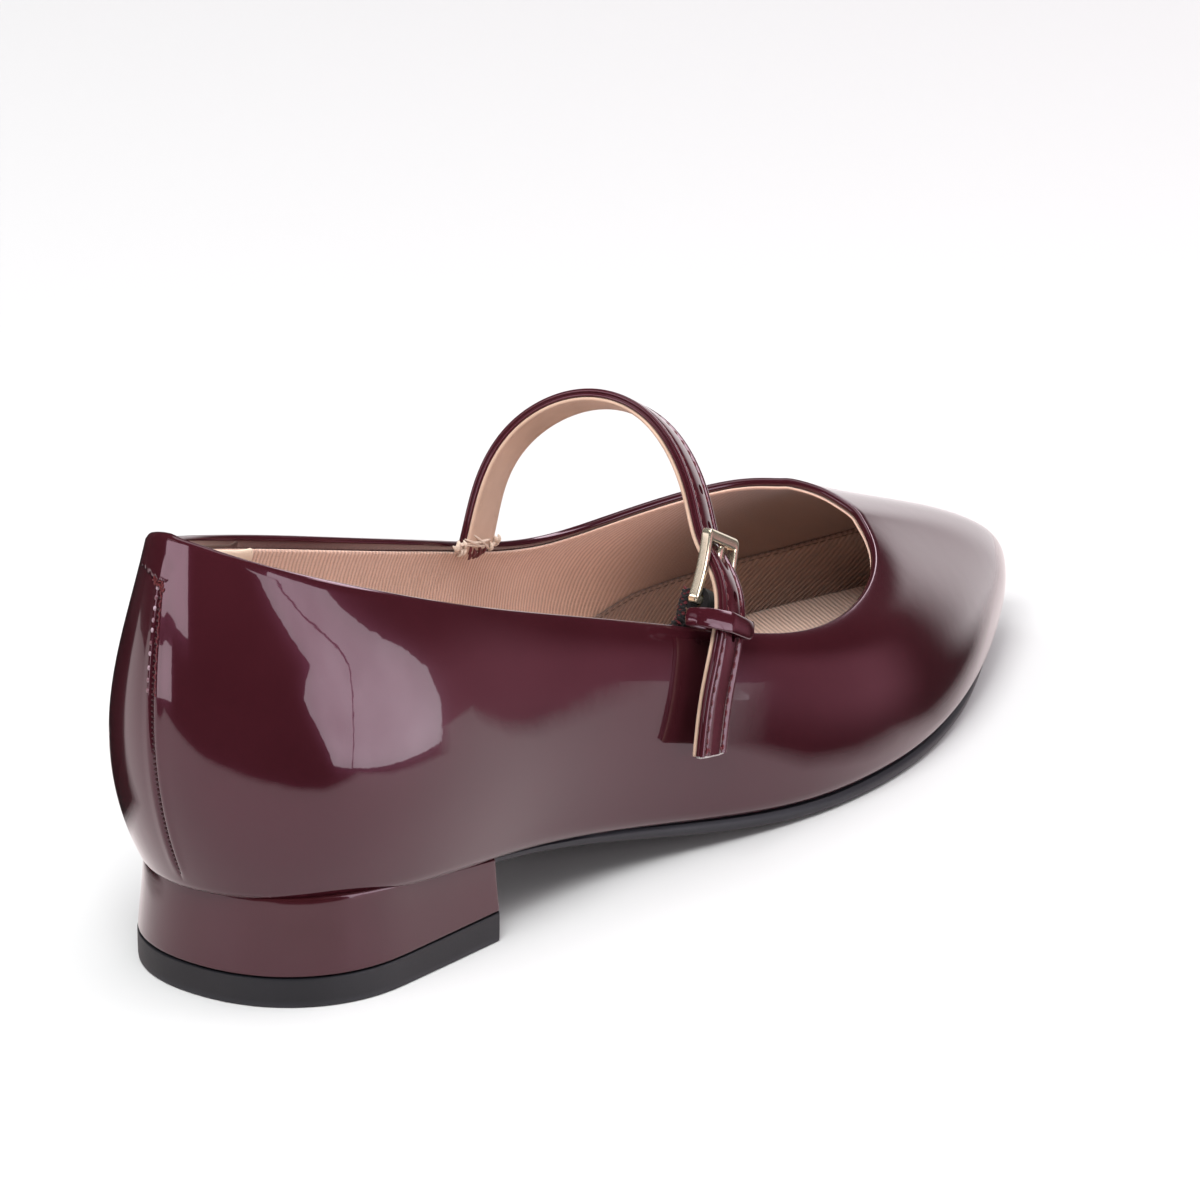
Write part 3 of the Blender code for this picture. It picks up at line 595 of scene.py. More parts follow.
def share_below_top(places, distance):
    """The wall's share at a distance, in millimetres, below the topline."""
    shares = np.linspace(1, 0, LENGTH_STEPS + 1)
    reach = np.pad(np.cumsum(wall_steps(places, shares), 1), ((0, 0), (1, 0)))
    distance = np.broadcast_to(distance, len(places))
    return np.array([np.interp(here, line, shares) for here, line in zip(distance, reach)])


def wall_height(places):
    """Length of the wall from the feather line to the topline."""
    return wall_steps(places, np.linspace(0, 1, LENGTH_STEPS + 1)).sum(1)


def collar(places, travel, proud=0.0):
    """A point on the folded edge. Travel is negative outside, zero on the rim and positive inside."""
    places = np.asarray(places, float)
    travel = np.broadcast_to(travel, places.shape)
    turn = np.clip((travel + HALF_TURN) / RIM, 0, math.pi)[:, None]
    share = share_below_top(places, RIM + np.maximum(np.abs(travel) - HALF_TURN, 0))
    point, out = skin(places, share)
    up = unit(skin(places, share + 0.004)[0] - point)
    radius = (RIM + np.broadcast_to(proud, places.shape))[:, None]
    return point - out * (RIM - radius * np.cos(turn)) + up * radius * np.sin(turn)


print("rim at the back seam:", collar([0.0], 0.0)[0].round(1), "mm")

# %% [markdown]
# A grid primitive is the flat pattern. Its columns run round the shoe and its rows run up it. The
# helpers below add the grid, tell each of its points which column and row it is in, and move the
# points to where a function says. A pattern that runs all the way round has its two ends welded, and
# what stays open is joined or filled along its open edges.

# %% Flat patterns
def points_of(piece):
    return np.array([vertex.co for vertex in piece.data.vertices]) / MM


def move_points(piece, points):
    piece.data.vertices.foreach_set("co", np.asarray(points).ravel())
    piece.data.update()


def put(piece, points):
    """Move every point of a piece, given in millimetres on the last."""
    move_points(piece, to_world(points))


def flat_pattern(name, columns, rows):
    """Add a grid of the given number of points each way, and number its points."""
    deselect()
    bpy.ops.mesh.primitive_grid_add(x_subdivisions=columns - 1, y_subdivisions=rows - 1, size=1.0)
    piece = bpy.context.object
    piece.name = piece.data.name = name
    place = (points_of(piece)[:, :2] * MM + 0.5) * (columns - 1, rows - 1)
    return piece, *np.rint(place).astype(int).T


def pattern_map(piece, along, up):
    """Store a measure along and up the pattern, in millimetres, as the piece's UV map."""
    layer = piece.data.uv_layers.active or piece.data.uv_layers.new(name="pattern")
    layer.name = "pattern"
    corner = np.empty(len(piece.data.loops), int)
    piece.data.loops.foreach_get("vertex_index", corner)
    layer.data.foreach_set("uv", np.column_stack([along, up])[corner].ravel())


def weld():
    bpy.ops.mesh.remove_doubles(threshold=0.000002)


def face_out():
    bpy.ops.mesh.normals_make_consistent(inside=False)


def at_open_edges(job):
    """The same job, done on the open edges only."""
    def run():
        bpy.ops.mesh.select_all(action="DESELECT")
        bpy.ops.mesh.select_mode(type="EDGE")
        bpy.ops.mesh.select_non_manifold(extend=False, use_wire=False, use_multi_face=False,
                                         use_non_contiguous=False, use_verts=False)
        job()
    return run


def modify(piece, kind, **settings):
    """Add one modifier, set it and apply it."""
    pick(piece)
    bpy.ops.object.modifier_add(type=kind)
    change = piece.modifiers[-1]
    for field, value in settings.items():
        setattr(change, field, value)
    bpy.ops.object.modifier_apply(modifier=change.name)


def thicken(piece, thickness, offset, **settings):
    """Turn a face that shows into a wall, in millimetres."""
    modify(piece, "SOLIDIFY", thickness=thickness * MM, offset=offset, **settings)


def smooth(piece, levels=1):
    modify(piece, "SUBSURF", levels=levels, render_levels=levels)


def finish_piece(piece, material, slot, *stands_for):
    """Give a piece its material, its place in the frame and smooth shading."""
    piece.data.materials.clear()
    piece.data.materials.append(material)
    piece.data.shade_smooth()
    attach(piece, "root")
    if stands_for:
        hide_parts(*stands_for)
    size = np.ptp(points_of(piece), axis=0)
    print(f"{piece.name}: {len(piece.data.polygons)} faces, {size.round(1)} mm")


# %% [markdown]
# ## Patent leather
# Patent leather is leather under a thick clear lacquer. The colour sits in the base, which is nearly
# matt, and a coat over it gives the sharp mirror. The burgundy drifts a little from place to place,
# and the lacquer has a faint orange peel, so the bump goes to the coat as well as to the base.

# %% Patent leather
def patent(name, deep, warm, peel=1.0):
    finish = Finish(name, Coat_Weight=0.85, Coat_Roughness=0.03, Coat_IOR=1.5,
                    Specular_IOR_Level=0.25, Specular_Tint=(1.0, 0.4, 0.7))
    clouds, grain = finish.noise(38.0, 3.0), finish.noise(900.0)
    worn = finish.ramp(grain, (0.35, (0, 0, 0)), (0.75, (0.25, 0.25, 0.25)))
    colour = finish.blend(worn, finish.ramp(clouds, (0.30, deep), (0.70, warm)), warm)
    ripple = finish.bump(finish.noise(210.0), 0.00005 * peel)
    fine = finish.bump(grain, 0.0000035 * peel, Normal=ripple)
    return finish.shade(Base_Color=colour, Normal=fine, Coat_Normal=fine,
                        Roughness=finish.math("MULTIPLY_ADD", clouds, 0.10, 0.13))


upper_patent = patent("burgundy_patent", (0.027, 0.0045, 0.0070), (0.033, 0.0058, 0.0088), 0.35)
heel_patent = patent("burgundy_patent_heel", (0.023, 0.0043, 0.0056), (0.030, 0.0058, 0.0072), 0.5)
strap_patent = patent("burgundy_patent_strap", (0.036, 0.0060, 0.0092), (0.046, 0.0085, 0.0120), 0.6)
keeper_patent = patent("burgundy_patent_keeper", (0.030, 0.0045, 0.0075), (0.040, 0.0065, 0.0100), 0.8)
print("patent finishes:", upper_patent.name, heel_patent.name, strap_patent.name, keeper_patent.name)

# %% [markdown]
# ## Upper
# The upper is one skin of patent leather 0.7 mm thick. Its pattern is a wide strip: the lowest rows
# are the margin that is glued under the insole, then comes the turn at the feather line, the wall, the
# folded rim and the band that shows inside. Columns stand closer together where the outline turns and
# beside the back seam, where the two edges of the leather dip into a groove.

# %% Places round the shoe
def places_round(spacing, seam=()):
    """Places all round, closer where the foot or the topline turns, with extra ones at the seam."""
    fine = np.linspace(0, ROUND, 1600)
    step = fine[1] - fine[0]
    value, _, foot, _ = stations_at(fine)
    density = np.full(len(fine), 1 / spacing)
    for line in (foot, value[:, 7:10]):
        way = np.gradient(line[:, :2], axis=0)
        heading = np.unwrap(np.arctan2(way[:, 1], way[:, 0]))
        density += np.abs(np.gradient(heading)) / step / math.radians(7)
    reach = np.concatenate([[0.0], np.cumsum((density[1:] + density[:-1]) / 2 * step)])
    places = np.interp(np.linspace(0, reach[-1], int(reach[-1]) + 1), reach, fine)
    if len(seam):
        keep = np.minimum(places, ROUND - places) > max(seam) + 0.5
        places = np.concatenate([seam, places[keep], ROUND - np.array(seam)[::-1]])
    return places


SEAM_COLUMNS = (0.0, 0.12, 0.26, 0.42, 0.6, 0.85, 1.2, 1.7, 2.4, 3.3, 4.3, 5.4, 6.6)
upper_places = places_round(2.4, SEAM_COLUMNS)
print("columns round the upper:", len(upper_places))

# %% [markdown]
# The groove of the back seam is narrow: half a millimetre deep where the edges meet, with a slight
# swelling beside it. It fades out under the small tab that covers the top of the seam. Where the
# elastic of the buckle is sewn in, the leather puckers a little.

# %% Relief of the leather
SEAM_TOP = 7.4            # the tab covers this much of the seam, from the rim down


def seam_relief(places, from_top):
    """How far the skin is pushed in near the back seam, in millimetres."""
    away = np.minimum(places, ROUND - places)
    groove = 0.42 * bump_at(away, 0, 0.28) - 0.16 * bump_at(away, 0.95, 0.55)
    return groove * np.clip((from_top - SEAM_TOP + 1.5) / 1.5, 0, 1)


def pucker(points):
    """Small gathers below the buckle's elastic."""
    along, across, up = points.T
    near = bump_at(along, 113.0, 5.0) * bump_at(up, 45.0, 3.5) * (across > 0)
    return 0.016 * near * np.sin((along - 0.25 * up) / 1.7)


def wall_line(share):
    """One row of the upper's wall. Low down it eases into the plain form of the last."""
    flat, out = skin(upper_places, share)
    line = flat - out * seam_relief(upper_places, upper_heights * (1 - share))[:, None]
    line += out * pucker(line)[:, None]
    easing = np.clip(share / 0.05, 0, 1)[:, None]
    return line * easing + wall_point(upper_places, share) * (1 - easing)


WALL_ROWS = 46
rim_share, upper_heights = share_below_top(upper_places, RIM), wall_height(upper_places)
lines = np.array(
    [under_point(upper_places, inset) for inset in (ROLL + MARGIN, ROLL + 2.0)]
    + [roll_point(upper_places, share) for share in (0.0, 0.2, 0.4, 0.6, 0.8)]
    + [wall_line(share * rim_share) for share in np.linspace(0, 1, WALL_ROWS)]
    + [collar(upper_places, travel) for travel in np.linspace(-HALF_TURN, HALF_TURN, 9)[1:]]
    + [collar(upper_places, HALF_TURN + travel) for travel in (0.7, 1.6, 2.7, 3.9, 5.2, 6.4)])
upper, column, row = flat_pattern("upper_skin", len(upper_places), len(lines))
put(upper, lines[row, column])
in_edit(upper, weld, face_out)
thicken(upper, 0.7, -1.0, use_even_offset=True)
finish_piece(upper, upper_patent, "patent_upper", "upper")

# %% [markdown]
# ## Lining
# The lining is a ribbed cotton twill in a warm beige. The ribs follow the cloth, not the room, so
# they read the pattern map. The ribs are painted lit and the grooves shaded. A painted highlight lies
# where the cloth folds over at the top, and deep in the toe the ribs fade out and painted shade makes
# it dark. The insole and the sock are cut from the same twill, but the insole is painted lighter and
# the sock darker, as painted light and painted shade.

# %% Ribbed cloth
def ribbed(name, lit, shade, pitch, folded=False):
    """Twill: raised ribs at a pitch in millimetres, crossed by fine yarns, painted lit on the ribs and
    shaded between. For the lining, painted shade darkens the toe and a painted highlight lies on the
    folded edge.
    """
    finish = Finish(name, Roughness=0.86, Sheen_Weight=0.25, Sheen_Roughness=0.5,
                    Specular_IOR_Level=0.2)
    place = finish.node("UVMap", {"uv_map": "pattern"}).outputs[0]
    split = finish.node("SeparateXYZ", Vector=place)
    across = finish.math("MULTIPLY_ADD", finish.noise(0.35, vector=place), 0.5, split.outputs[0])

    def waves(measure, length):
        wave = finish.math("SINE", finish.math("MULTIPLY", measure, 2 * math.pi / length))
        return finish.math("MULTIPLY_ADD", wave, 0.5, 0.5)

    rib, yarn = waves(across, pitch), waves(split.outputs[1], pitch * 0.42)
    if folded:
        forward = finish.node("SeparateXYZ", Vector=finish.place).outputs[1]
        plain = finish.node("MapRange", {"interpolation_type": "SMOOTHSTEP"}, Value=forward,
                            From_Min=-0.066, From_Max=-0.034).outputs[0]
        rib = finish.math("MULTIPLY", rib, plain)
    fuzz = finish.noise(3.1, 4.0, vector=place, roughness=0.7)
    height = finish.math("MULTIPLY_ADD", fuzz, 0.5, finish.math("MULTIPLY_ADD", yarn, 0.22, rib))
    tone = finish.math("MULTIPLY_ADD", fuzz, 0.45, finish.math("MULTIPLY", rib, 0.75))
    # painted shade: deep in the toe the lining is darkened below, as if the vamp shades it
    if folded:
        toe_painted_shade = finish.math("SUBTRACT", 1.0, plain)
        tone = finish.math("MULTIPLY_ADD", toe_painted_shade, 0.35, tone)
    worn = finish.math("MULTIPLY", finish.noise(0.06, vector=place), 0.25)
    # the ribs are painted with the lit colour and the grooves with the shaded one
    colour = finish.blend(worn, finish.ramp(tone, (0.10, shade), (0.80, lit)), lit)
    if folded:
        # painted shade: the toe is blended toward a deep brown
        colour = finish.blend(finish.math("MULTIPLY", toe_painted_shade, 0.8), colour, (0.062, 0.026, 0.017))
        # painted highlight: the folded top edge is blended toward the lit colour
        from_fold = finish.math("ABSOLUTE", split.outputs[1])
        edge = finish.node("MapRange", Value=from_fold, From_Min=1.0, From_Max=0.6, To_Max=0.9)
        colour = finish.blend(edge.outputs[0], colour, lit)
    return finish.shade(Base_Color=colour, Normal=finish.bump(height, 0.00022, 0.8))


lining_cloth = ribbed("ribbed_twill", (0.62, 0.42, 0.33), (0.34, 0.205, 0.153), 1.0, folded=True)
# painted light: the insole is the lining's twill painted much lighter, for the light that falls on it
insole_cloth = ribbed("ribbed_twill_insole_painted_light", (0.84, 0.60, 0.49), (0.56, 0.37, 0.29), 0.9)
# painted shade: the sock is the lining's twill painted darker, for the shade on the walls inside
shaded_sock_cloth = ribbed("ribbed_twill_sock_painted_shade", (0.29, 0.19, 0.15), (0.17, 0.108, 0.083), 0.9)
print("cloths:", lining_cloth.name, insole_cloth.name, shaded_sock_cloth.name)

# %% [markdown]
# The lining's upper edge is folded over and lies on the leather band a few millimetres below the rim.
# The piece is a closed section laid all round the last: up the back of the cloth, over the fold and
# down the face. Toward the toe the cloth was cut at a slant, and its ribs lean with it: the map runs
# along each row with the cosine of the lean and up the wall with its sine.

# %% Lining on the last
LINING_FACE = 2.12        # depth of the cloth's face under the outer skin
LINING_BACK = 1.66
FOLD_ROOM = 2.6           # this much of the cloth, from the fold down, is drawn in fine rows
lining_places = places_round(3.2)
lining_along = stations_at(lining_places)[2][:, 0]
# the fold lies this far below the rim: closer to it at the heel and at the throat
lining_top = np.interp(lining_along, (0, 50, 95, 135, 190, 240), (1.4, 1.5, 1.3, 0.6, -0.2, -0.5))
# depth, and millimetres below the fold
FOLD = ((LINING_BACK, FOLD_ROOM), (LINING_BACK, 0.8), (1.68, 0.35), (1.76, 0.10), (1.90, 0.0),
        (2.04, 0.06), (2.16, 0.26), (2.20, 0.6), (2.16, 1.4), (LINING_FACE, FOLD_ROOM))
rib_angle = np.interp(lining_along, (0, 60, 100, 130, 150, 185, 256),
                      np.radians((3, 4, 8, 14, 22, 40, 50)))
rib_angle[lining_places < TOE_PLACE] *= -1
rib_run = np.cumsum(np.cos(rib_angle) * np.gradient(lining_places))


def toe_slack(places):
    """The cloth inside lies a little closer to the skin at the point of the toe."""
    return 0.5 * bump_at(places, TOE_PLACE, 12.0)


top_share = share_below_top(lining_places, lining_top + FOLD_ROOM + RIM)
lining_rows = (
    [(LINING_BACK, share * top_share) for share in (0.04, 0.2, 0.4, 0.6, 0.8)]
    + [(depth, share_below_top(lining_places, below + lining_top + RIM)) for depth, below in FOLD]
    + [(LINING_FACE, share * top_share) for share in np.linspace(0.88, 0.04, 15)])
lining, column, row = flat_pattern("lining", len(lining_places), len(lining_rows))
shares = np.array([share for _, share in lining_rows])
put(lining, np.array([
    skin(lining_places, share,
         depth * (1 - toe_slack(lining_places) * np.clip((0.92 - share) / 0.36, 0, 1)))[0]
    for depth, share in lining_rows])[row, column])
lining_heights = wall_height(lining_places)
pattern_map(lining, (rib_run + lining_heights * shares * np.sin(rib_angle))[row, column],
            (lining_heights * (1 - shares) - RIM - lining_top)[row, column])
in_edit(lining, weld, at_open_edges(bpy.ops.mesh.bridge_edge_loops), face_out)
finish_piece(lining, lining_cloth, "insole_cloth")

# %% [markdown]
# Under the foot and up to a seam along the wall lies the sock, cut from the same twill but turned, so
# that its ribs run aslant, and painted darker than the lining as painted shade. It is an open strip
# over the lining, with a row of dark stitches at its edge. An open strip has no inside, so after the
# normals are made alike they are checked once and turned over where they look out of the shoe.

# %% Sock wall
SOCK_EDGE = (
    (120, 0.05), (142, 0.12), (165, 0.22), (193, 0.34), (210, 0.365), (232, 0.41), (251, 0.47),
    (275, 0.52), (299, 0.47), (318, 0.415), (340, 0.365), (357, 0.345), (385, 0.23), (408, 0.12),
    (430, 0.05))
SOCK_COLUMNS, SOCK_ROWS = 120, 14


def turn_over_if(piece, wrong):
    if wrong:
        piece.data.flip_normals()


def sock_edge(places):
    return np.interp(places, *zip(*SOCK_EDGE))


sock, column, row = flat_pattern("sock_wall", SOCK_COLUMNS, SOCK_ROWS)
sock_place = np.linspace(SOCK_EDGE[0][0], SOCK_EDGE[-1][0], SOCK_COLUMNS)[column]
sock_share = 0.02 + (sock_edge(sock_place) - 0.02) * row / (SOCK_ROWS - 1)
put(sock, skin(sock_place, sock_share, (LINING_FACE + 0.06) * (1 - toe_slack(sock_place)))[0])
slant, sock_height = math.radians(52), sock_share * 42.0
pattern_map(sock, sock_place * math.cos(slant) + sock_height * math.sin(slant),
            sock_height * math.cos(slant) - sock_place * math.sin(slant))
in_edit(sock, face_out)
turn_over_if(sock, sum(face.normal.x * face.center.x + face.normal.y * (face.center.y + 0.02)
                       for face in sock.data.polygons) > 0)
thicken(sock, 0.55, 1.0)
finish_piece(sock, shaded_sock_cloth, "insole_cloth")

# %% [markdown]
# ## Heel grip
# A soft cream leather patch lines the back of the heel, so that the foot doesn't slip. It lies on the
# cloth, ends a little below the rim, and its front edges are thin and slightly ruffled.

# %% Smooth leather inside
def soft_leather(name, colour, worn_colour, roughness=0.7):
    finish = Finish(name, Sheen_Weight=0.15, Specular_IOR_Level=0.3)
    clouds = finish.noise(90.0, 3.0)
    return finish.shade(Base_Color=finish.ramp(clouds, (0.3, colour), (0.75, worn_colour)),
                        Roughness=finish.math("MULTIPLY_ADD", clouds, 0.15, roughness - 0.07),
                        Normal=finish.bump(finish.noise(2600.0), 0.00003, 0.6))


grip_leather = soft_leather("cream_grip_leather", (0.70, 0.58, 0.46), (0.60, 0.48, 0.37))
GRIP_REACH = 57.0         # how far it runs along each side of the back seam
GRIP_COLUMNS, GRIP_ROWS = 101, 25
grip, column, row = flat_pattern("heel_grip", GRIP_COLUMNS, GRIP_ROWS)
across = np.linspace(-1, 1, GRIP_COLUMNS)[column]
down = np.linspace(0, 1, GRIP_ROWS)[row]
end = np.clip((np.abs(across) - 0.95) / 0.05, 0, 1)
below = (RIM + 1.1 + 0.3 * across**2 - 1.3 * end + down * (36.0 - 8.0 * across**2)
         + 0.5 * end * np.sin(17 * down))
reach = np.mod(across * (GRIP_REACH + 0.9 * np.sin(9 * down) * end), ROUND)
depth = 2.34 + 0.45 * end * (1 + np.sin(30.0 * down)) + 0.5 * end * np.exp(-down / 0.08)
put(grip, skin(reach, share_below_top(reach, below), depth)[0])
in_edit(grip, face_out)
turn_over_if(grip, sum(face.normal.y * face.area for face in grip.data.polygons) > 0)
thicken(grip, 0.5, 1.0)
smooth(grip)
finish_piece(grip, grip_leather, "insole_cloth")

# %% [markdown]
# ## Pieces that keep the frame's shape
# The sole, the heel, the insole and the elastic already have the right shape in the frame,
# but as loose flat triangles. A copy is welded, its triangles are paired back into quads, its edges
# are rounded with a bevel and the whole is smoothed with subdivision. The frame's own meshes stay as
# they are.

# %% Copies of frame nodes
PAIRING = math.radians(60)


def pair_triangles():
    bpy.ops.mesh.tris_convert_to_quads(face_threshold=PAIRING, shape_threshold=PAIRING)


def copy_of_node(node, name, round_off, angle, levels):
    piece = add_object(name, nodes[node].data.copy())
    piece.data.name = name
    piece.data.materials.clear()
    pick(piece)
    if piece.data.has_custom_normals:
        bpy.ops.mesh.customdata_custom_splitnormals_clear()
    in_edit(piece, weld, face_out, pair_triangles)
    modify(piece, "BEVEL", width=round_off * MM, segments=2, limit_method="ANGLE",
           angle_limit=math.radians(angle), profile=0.6)
    smooth(piece, levels)
    return piece


INSOLE_SLANT = math.radians(62)      # the ribs of the insole run aslant too
insole = copy_of_node("insole", "insole_board", 0.5, 50, 1)
x, y, _ = points_of(insole).T
pattern_map(insole, x * math.cos(INSOLE_SLANT) + y * math.sin(INSOLE_SLANT),
            y * math.cos(INSOLE_SLANT) - x * math.sin(INSOLE_SLANT))
finish_piece(insole, insole_cloth, "insole_cloth", "insole")

# %% [markdown]
# ## Sole and heel
# The outsole and the top piece under the heel are moulded rubber: nearly black, satin, with a fine
# grain and paler rubbed spots on the edges that touch the ground. The heel block between them is
# covered with the same patent leather as the upper, a little browner. Its top edge is drawn up until
# it closes against the upper: a search tree finds, for each of its points, the nearest of the top.

# %% Rubber
def rubber(name, colour, rubbed, roughness):
    finish = Finish(name, Specular_IOR_Level=0.42)
    grain, clouds = finish.noise(2400.0, 3.0), finish.noise(60.0, 3.0)
    height = finish.node("SeparateXYZ", Vector=finish.place).outputs[2]
    ground = finish.math("SUBTRACT", 1.0, finish.math("MULTIPLY", height, 700.0))
    ground = finish.node("Clamp", Value=ground).outputs[0]
    scuff = finish.math("MULTIPLY", ground, finish.noise(320.0, 4.0))
    tone = finish.ramp(clouds, (0.3, colour), (0.8, rubbed))
    return finish.shade(Base_Color=finish.blend(scuff, tone, times(3.0, rubbed)),
                        Roughness=finish.math("MULTIPLY_ADD", grain, 0.12, roughness - 0.06),
                        Normal=finish.bump(grain, 0.00002, 0.7))


sole_rubber = rubber("sole_rubber", (0.011, 0.0125, 0.0165), (0.016, 0.018, 0.0225), 0.46)
heel_rubber = rubber("heel_rubber", (0.0055, 0.0062, 0.008), (0.0085, 0.0095, 0.012), 0.55)
outsole = copy_of_node("outsole", "rubber_sole", 0.35, 45, 1)
finish_piece(outsole, sole_rubber, "sole_rubber", "outsole")
top_piece = copy_of_node("top_piece", "heel_top_piece", 0.45, 40, 2)
finish_piece(top_piece, heel_rubber, "top_piece_rubber", "top_piece")

heel = copy_of_node("heel_block", "covered_heel", 0.4, 40, 2)
seat_tops = [vertex.co.copy() for vertex in heel.data.vertices if vertex.normal.z > 0.8]
seat_tree = KDTree(len(seat_tops))
for number, place in enumerate(seat_tops):
    seat_tree.insert((place.x, place.y, 0), number)
seat_tree.balance()
for vertex in heel.data.vertices:
    x, y, z = vertex.co
    below_seat = seat_tops[seat_tree.find((x, y, 0))[1]].z - z
    # the outer side stands lowest, beside the waist of the shoe
    outer = bump_at(y, 0.101, 0.013) * np.clip((-x - 0.007) / 0.008, 0, 1)
    vertex.co.z += (0.60 + 0.95 * outer) * MM * np.clip((2.6 * MM - below_seat) / (1.4 * MM), 0, 1)
finish_piece(heel, heel_patent, "patent_heel", "heel_block")

# %% [markdown]
# ## Buckle
# The frame and its pin are pressed from metal and plated in a pale gold. Polished metal needs little
# colour of its own: it is a mirror, with a few hair-fine marks in its roughness. The buckle lies
# aslant on the foot, so it has axes of its own, and its parts are drawn in those.

# %% Pale gold
def plated(name, colour, roughness=0.12):
    finish = Finish(name, Metallic=0.9)
    marks = finish.noise(500.0, 4.0, stretch=(1.0, 0.15, 1.0))
    return finish.shade(
        Base_Color=finish.ramp(finish.noise(150.0), (0.3, colour), (0.8, times(0.92, colour))),
        Roughness=finish.math("MULTIPLY_ADD", marks, 0.10, roughness - 0.03),
        Normal=finish.bump(marks, 0.000002, 0.4))


pale_gold = plated("pale_gold", (0.90, 0.84, 0.63))
BUCKLE_CENTRE = np.array((122.6, 27.3, 53.6))
across_buckle = unit(np.array((0.876, -0.120, -0.466)))
up_buckle = np.array((0.457, -0.098, 0.884))
up_buckle = unit(up_buckle - (up_buckle @ across_buckle) * across_buckle)
off_buckle = -np.cross(across_buckle, up_buckle)


def on_buckle(widthways, rise, outward):
    """Millimetres on the buckle's own axes to the last's millimetres."""
    return (BUCKLE_CENTRE + np.multiply.outer(widthways, across_buckle)
            + np.multiply.outer(rise, up_buckle) + np.multiply.outer(outward, off_buckle))


print("buckle stands out toward", off_buckle.round(2))

# %% [markdown]
# A closed pattern is rolled twice: its rows go round the section of a bar and its columns go round the
# frame, so both ends of the pattern are welded. The top bar is the widest, for the pin to rest on.

# %% Buckle frame
HALF_WIDE, HALF_HIGH, BOW, HALF_THICK = 6.2, 7.0, 0.5, 1.0
SIDE_BAR, TOP_BAR, PIN_BAR = 1.5, 2.1, 1.5
OUTER_ROUND, INNER_ROUND = 1.2, 0.35
CORNER_POINTS, SIDE_STEPS = 8, 7
# share from the outer to the inner edge, and how far out as a share of half the thickness
BAR_SECTION = (
    (0.0, 0.0), (0.0, 0.72), (0.02, 0.80), (0.16, 0.97), (0.22, 1.0), (0.5, 1.03), (0.78, 1.0),
    (0.84, 0.97), (0.98, 0.80), (1.0, 0.72), (1.0, 0.0), (1.0, -0.72), (0.98, -0.80),
    (0.84, -0.97), (0.5, -1.0), (0.16, -0.97), (0.02, -0.80), (0.0, -0.72))


def frame_line(side_bar, top_bar, pin_bar, radius):
    """A rectangle with round corners, set in from the frame's outside by the bars' widths."""
    line = []
    for quarter, (right, top) in enumerate(((1, 1), (-1, 1), (-1, -1), (1, -1))):
        bar = top_bar if top > 0 else pin_bar
        centre = np.array((right * (HALF_WIDE - side_bar - radius), top * (HALF_HIGH - bar - radius)))
        line += [centre + radius * np.array((math.cos(turn), math.sin(turn)))
                 for turn in np.radians(90 * quarter + np.linspace(0, 90, CORNER_POINTS))]
    points = []
    for i, (here, after) in enumerate(zip(line, line[1:] + line[:1])):
        steps = SIDE_STEPS if (i + 1) % CORNER_POINTS == 0 else 1
        points += [here * (1 - share) + after * share
                   for share in np.linspace(0, 1, steps, endpoint=False)]
    return np.array(points + points[:1])


outer = frame_line(0, 0, 0, OUTER_ROUND)
inner = frame_line(SIDE_BAR, TOP_BAR, PIN_BAR, INNER_ROUND)
gold, column, row = flat_pattern("gold_frame", len(outer), len(BAR_SECTION) + 1)
inward, high_share = np.array(BAR_SECTION + BAR_SECTION[:1])[row].T
flat = outer[column] * (1 - inward)[:, None] + inner[column] * inward[:, None]
bowed = BOW * (1 - (flat[:, 1] / HALF_HIGH)**2)
put(gold, on_buckle(flat[:, 0], flat[:, 1], high_share * HALF_THICK + bowed))
in_edit(gold, weld, face_out)
smooth(gold)
finish_piece(gold, pale_gold, "buckle_metal", "buckle_frame")

# %% [markdown]
# The pin is a round wire bent round the lower bar and flattened toward its tip. The flat pattern is
# rolled up along its path: every ring is an oval that grows flatter and then closes at the tip.

# %% Buckle pin
pin_bar = -(HALF_HIGH - PIN_BAR / 2)
hook = [(pin_bar + 2.05 * math.sin(turn), -2.0 * math.cos(turn))
        for turn in np.radians(np.linspace(60, -180, 15))]
PIN_PATH = np.array(hook + [(-4.9, 1.95), (-3.6, 1.55), (-2.2, 1.05), (-0.6, 0.75), (0.9, 0.65),
                            (2.4, 0.65), (3.6, 0.68), (4.3, 0.70), (4.65, 0.70), (4.75, 0.70)])
PIN_SIDES = 16
pin_way = unit(np.gradient(PIN_PATH, axis=0))
wide = np.array([0.75] * len(hook) + [0.80, 0.90, 1.02, 1.12, 1.18, 1.20, 1.16, 1.00, 0.66, 0.02])
thin = np.array([0.72] * len(hook) + [0.70, 0.66, 0.62, 0.60, 0.58, 0.55, 0.52, 0.42, 0.26, 0.02])
pin, column, row = flat_pattern("gold_pin", len(PIN_PATH), PIN_SIDES + 1)
turn = 2 * np.pi * row / PIN_SIDES
lift = thin[column] * np.sin(turn)
put(pin, on_buckle(wide[column] * np.cos(turn), PIN_PATH[column, 0] - pin_way[column, 1] * lift,
                   PIN_PATH[column, 1] + pin_way[column, 0] * lift))
in_edit(pin, weld, at_open_edges(bpy.ops.mesh.edge_face_add), face_out)
smooth(pin)
finish_piece(pin, pale_gold, "prong_metal", "buckle_prong")
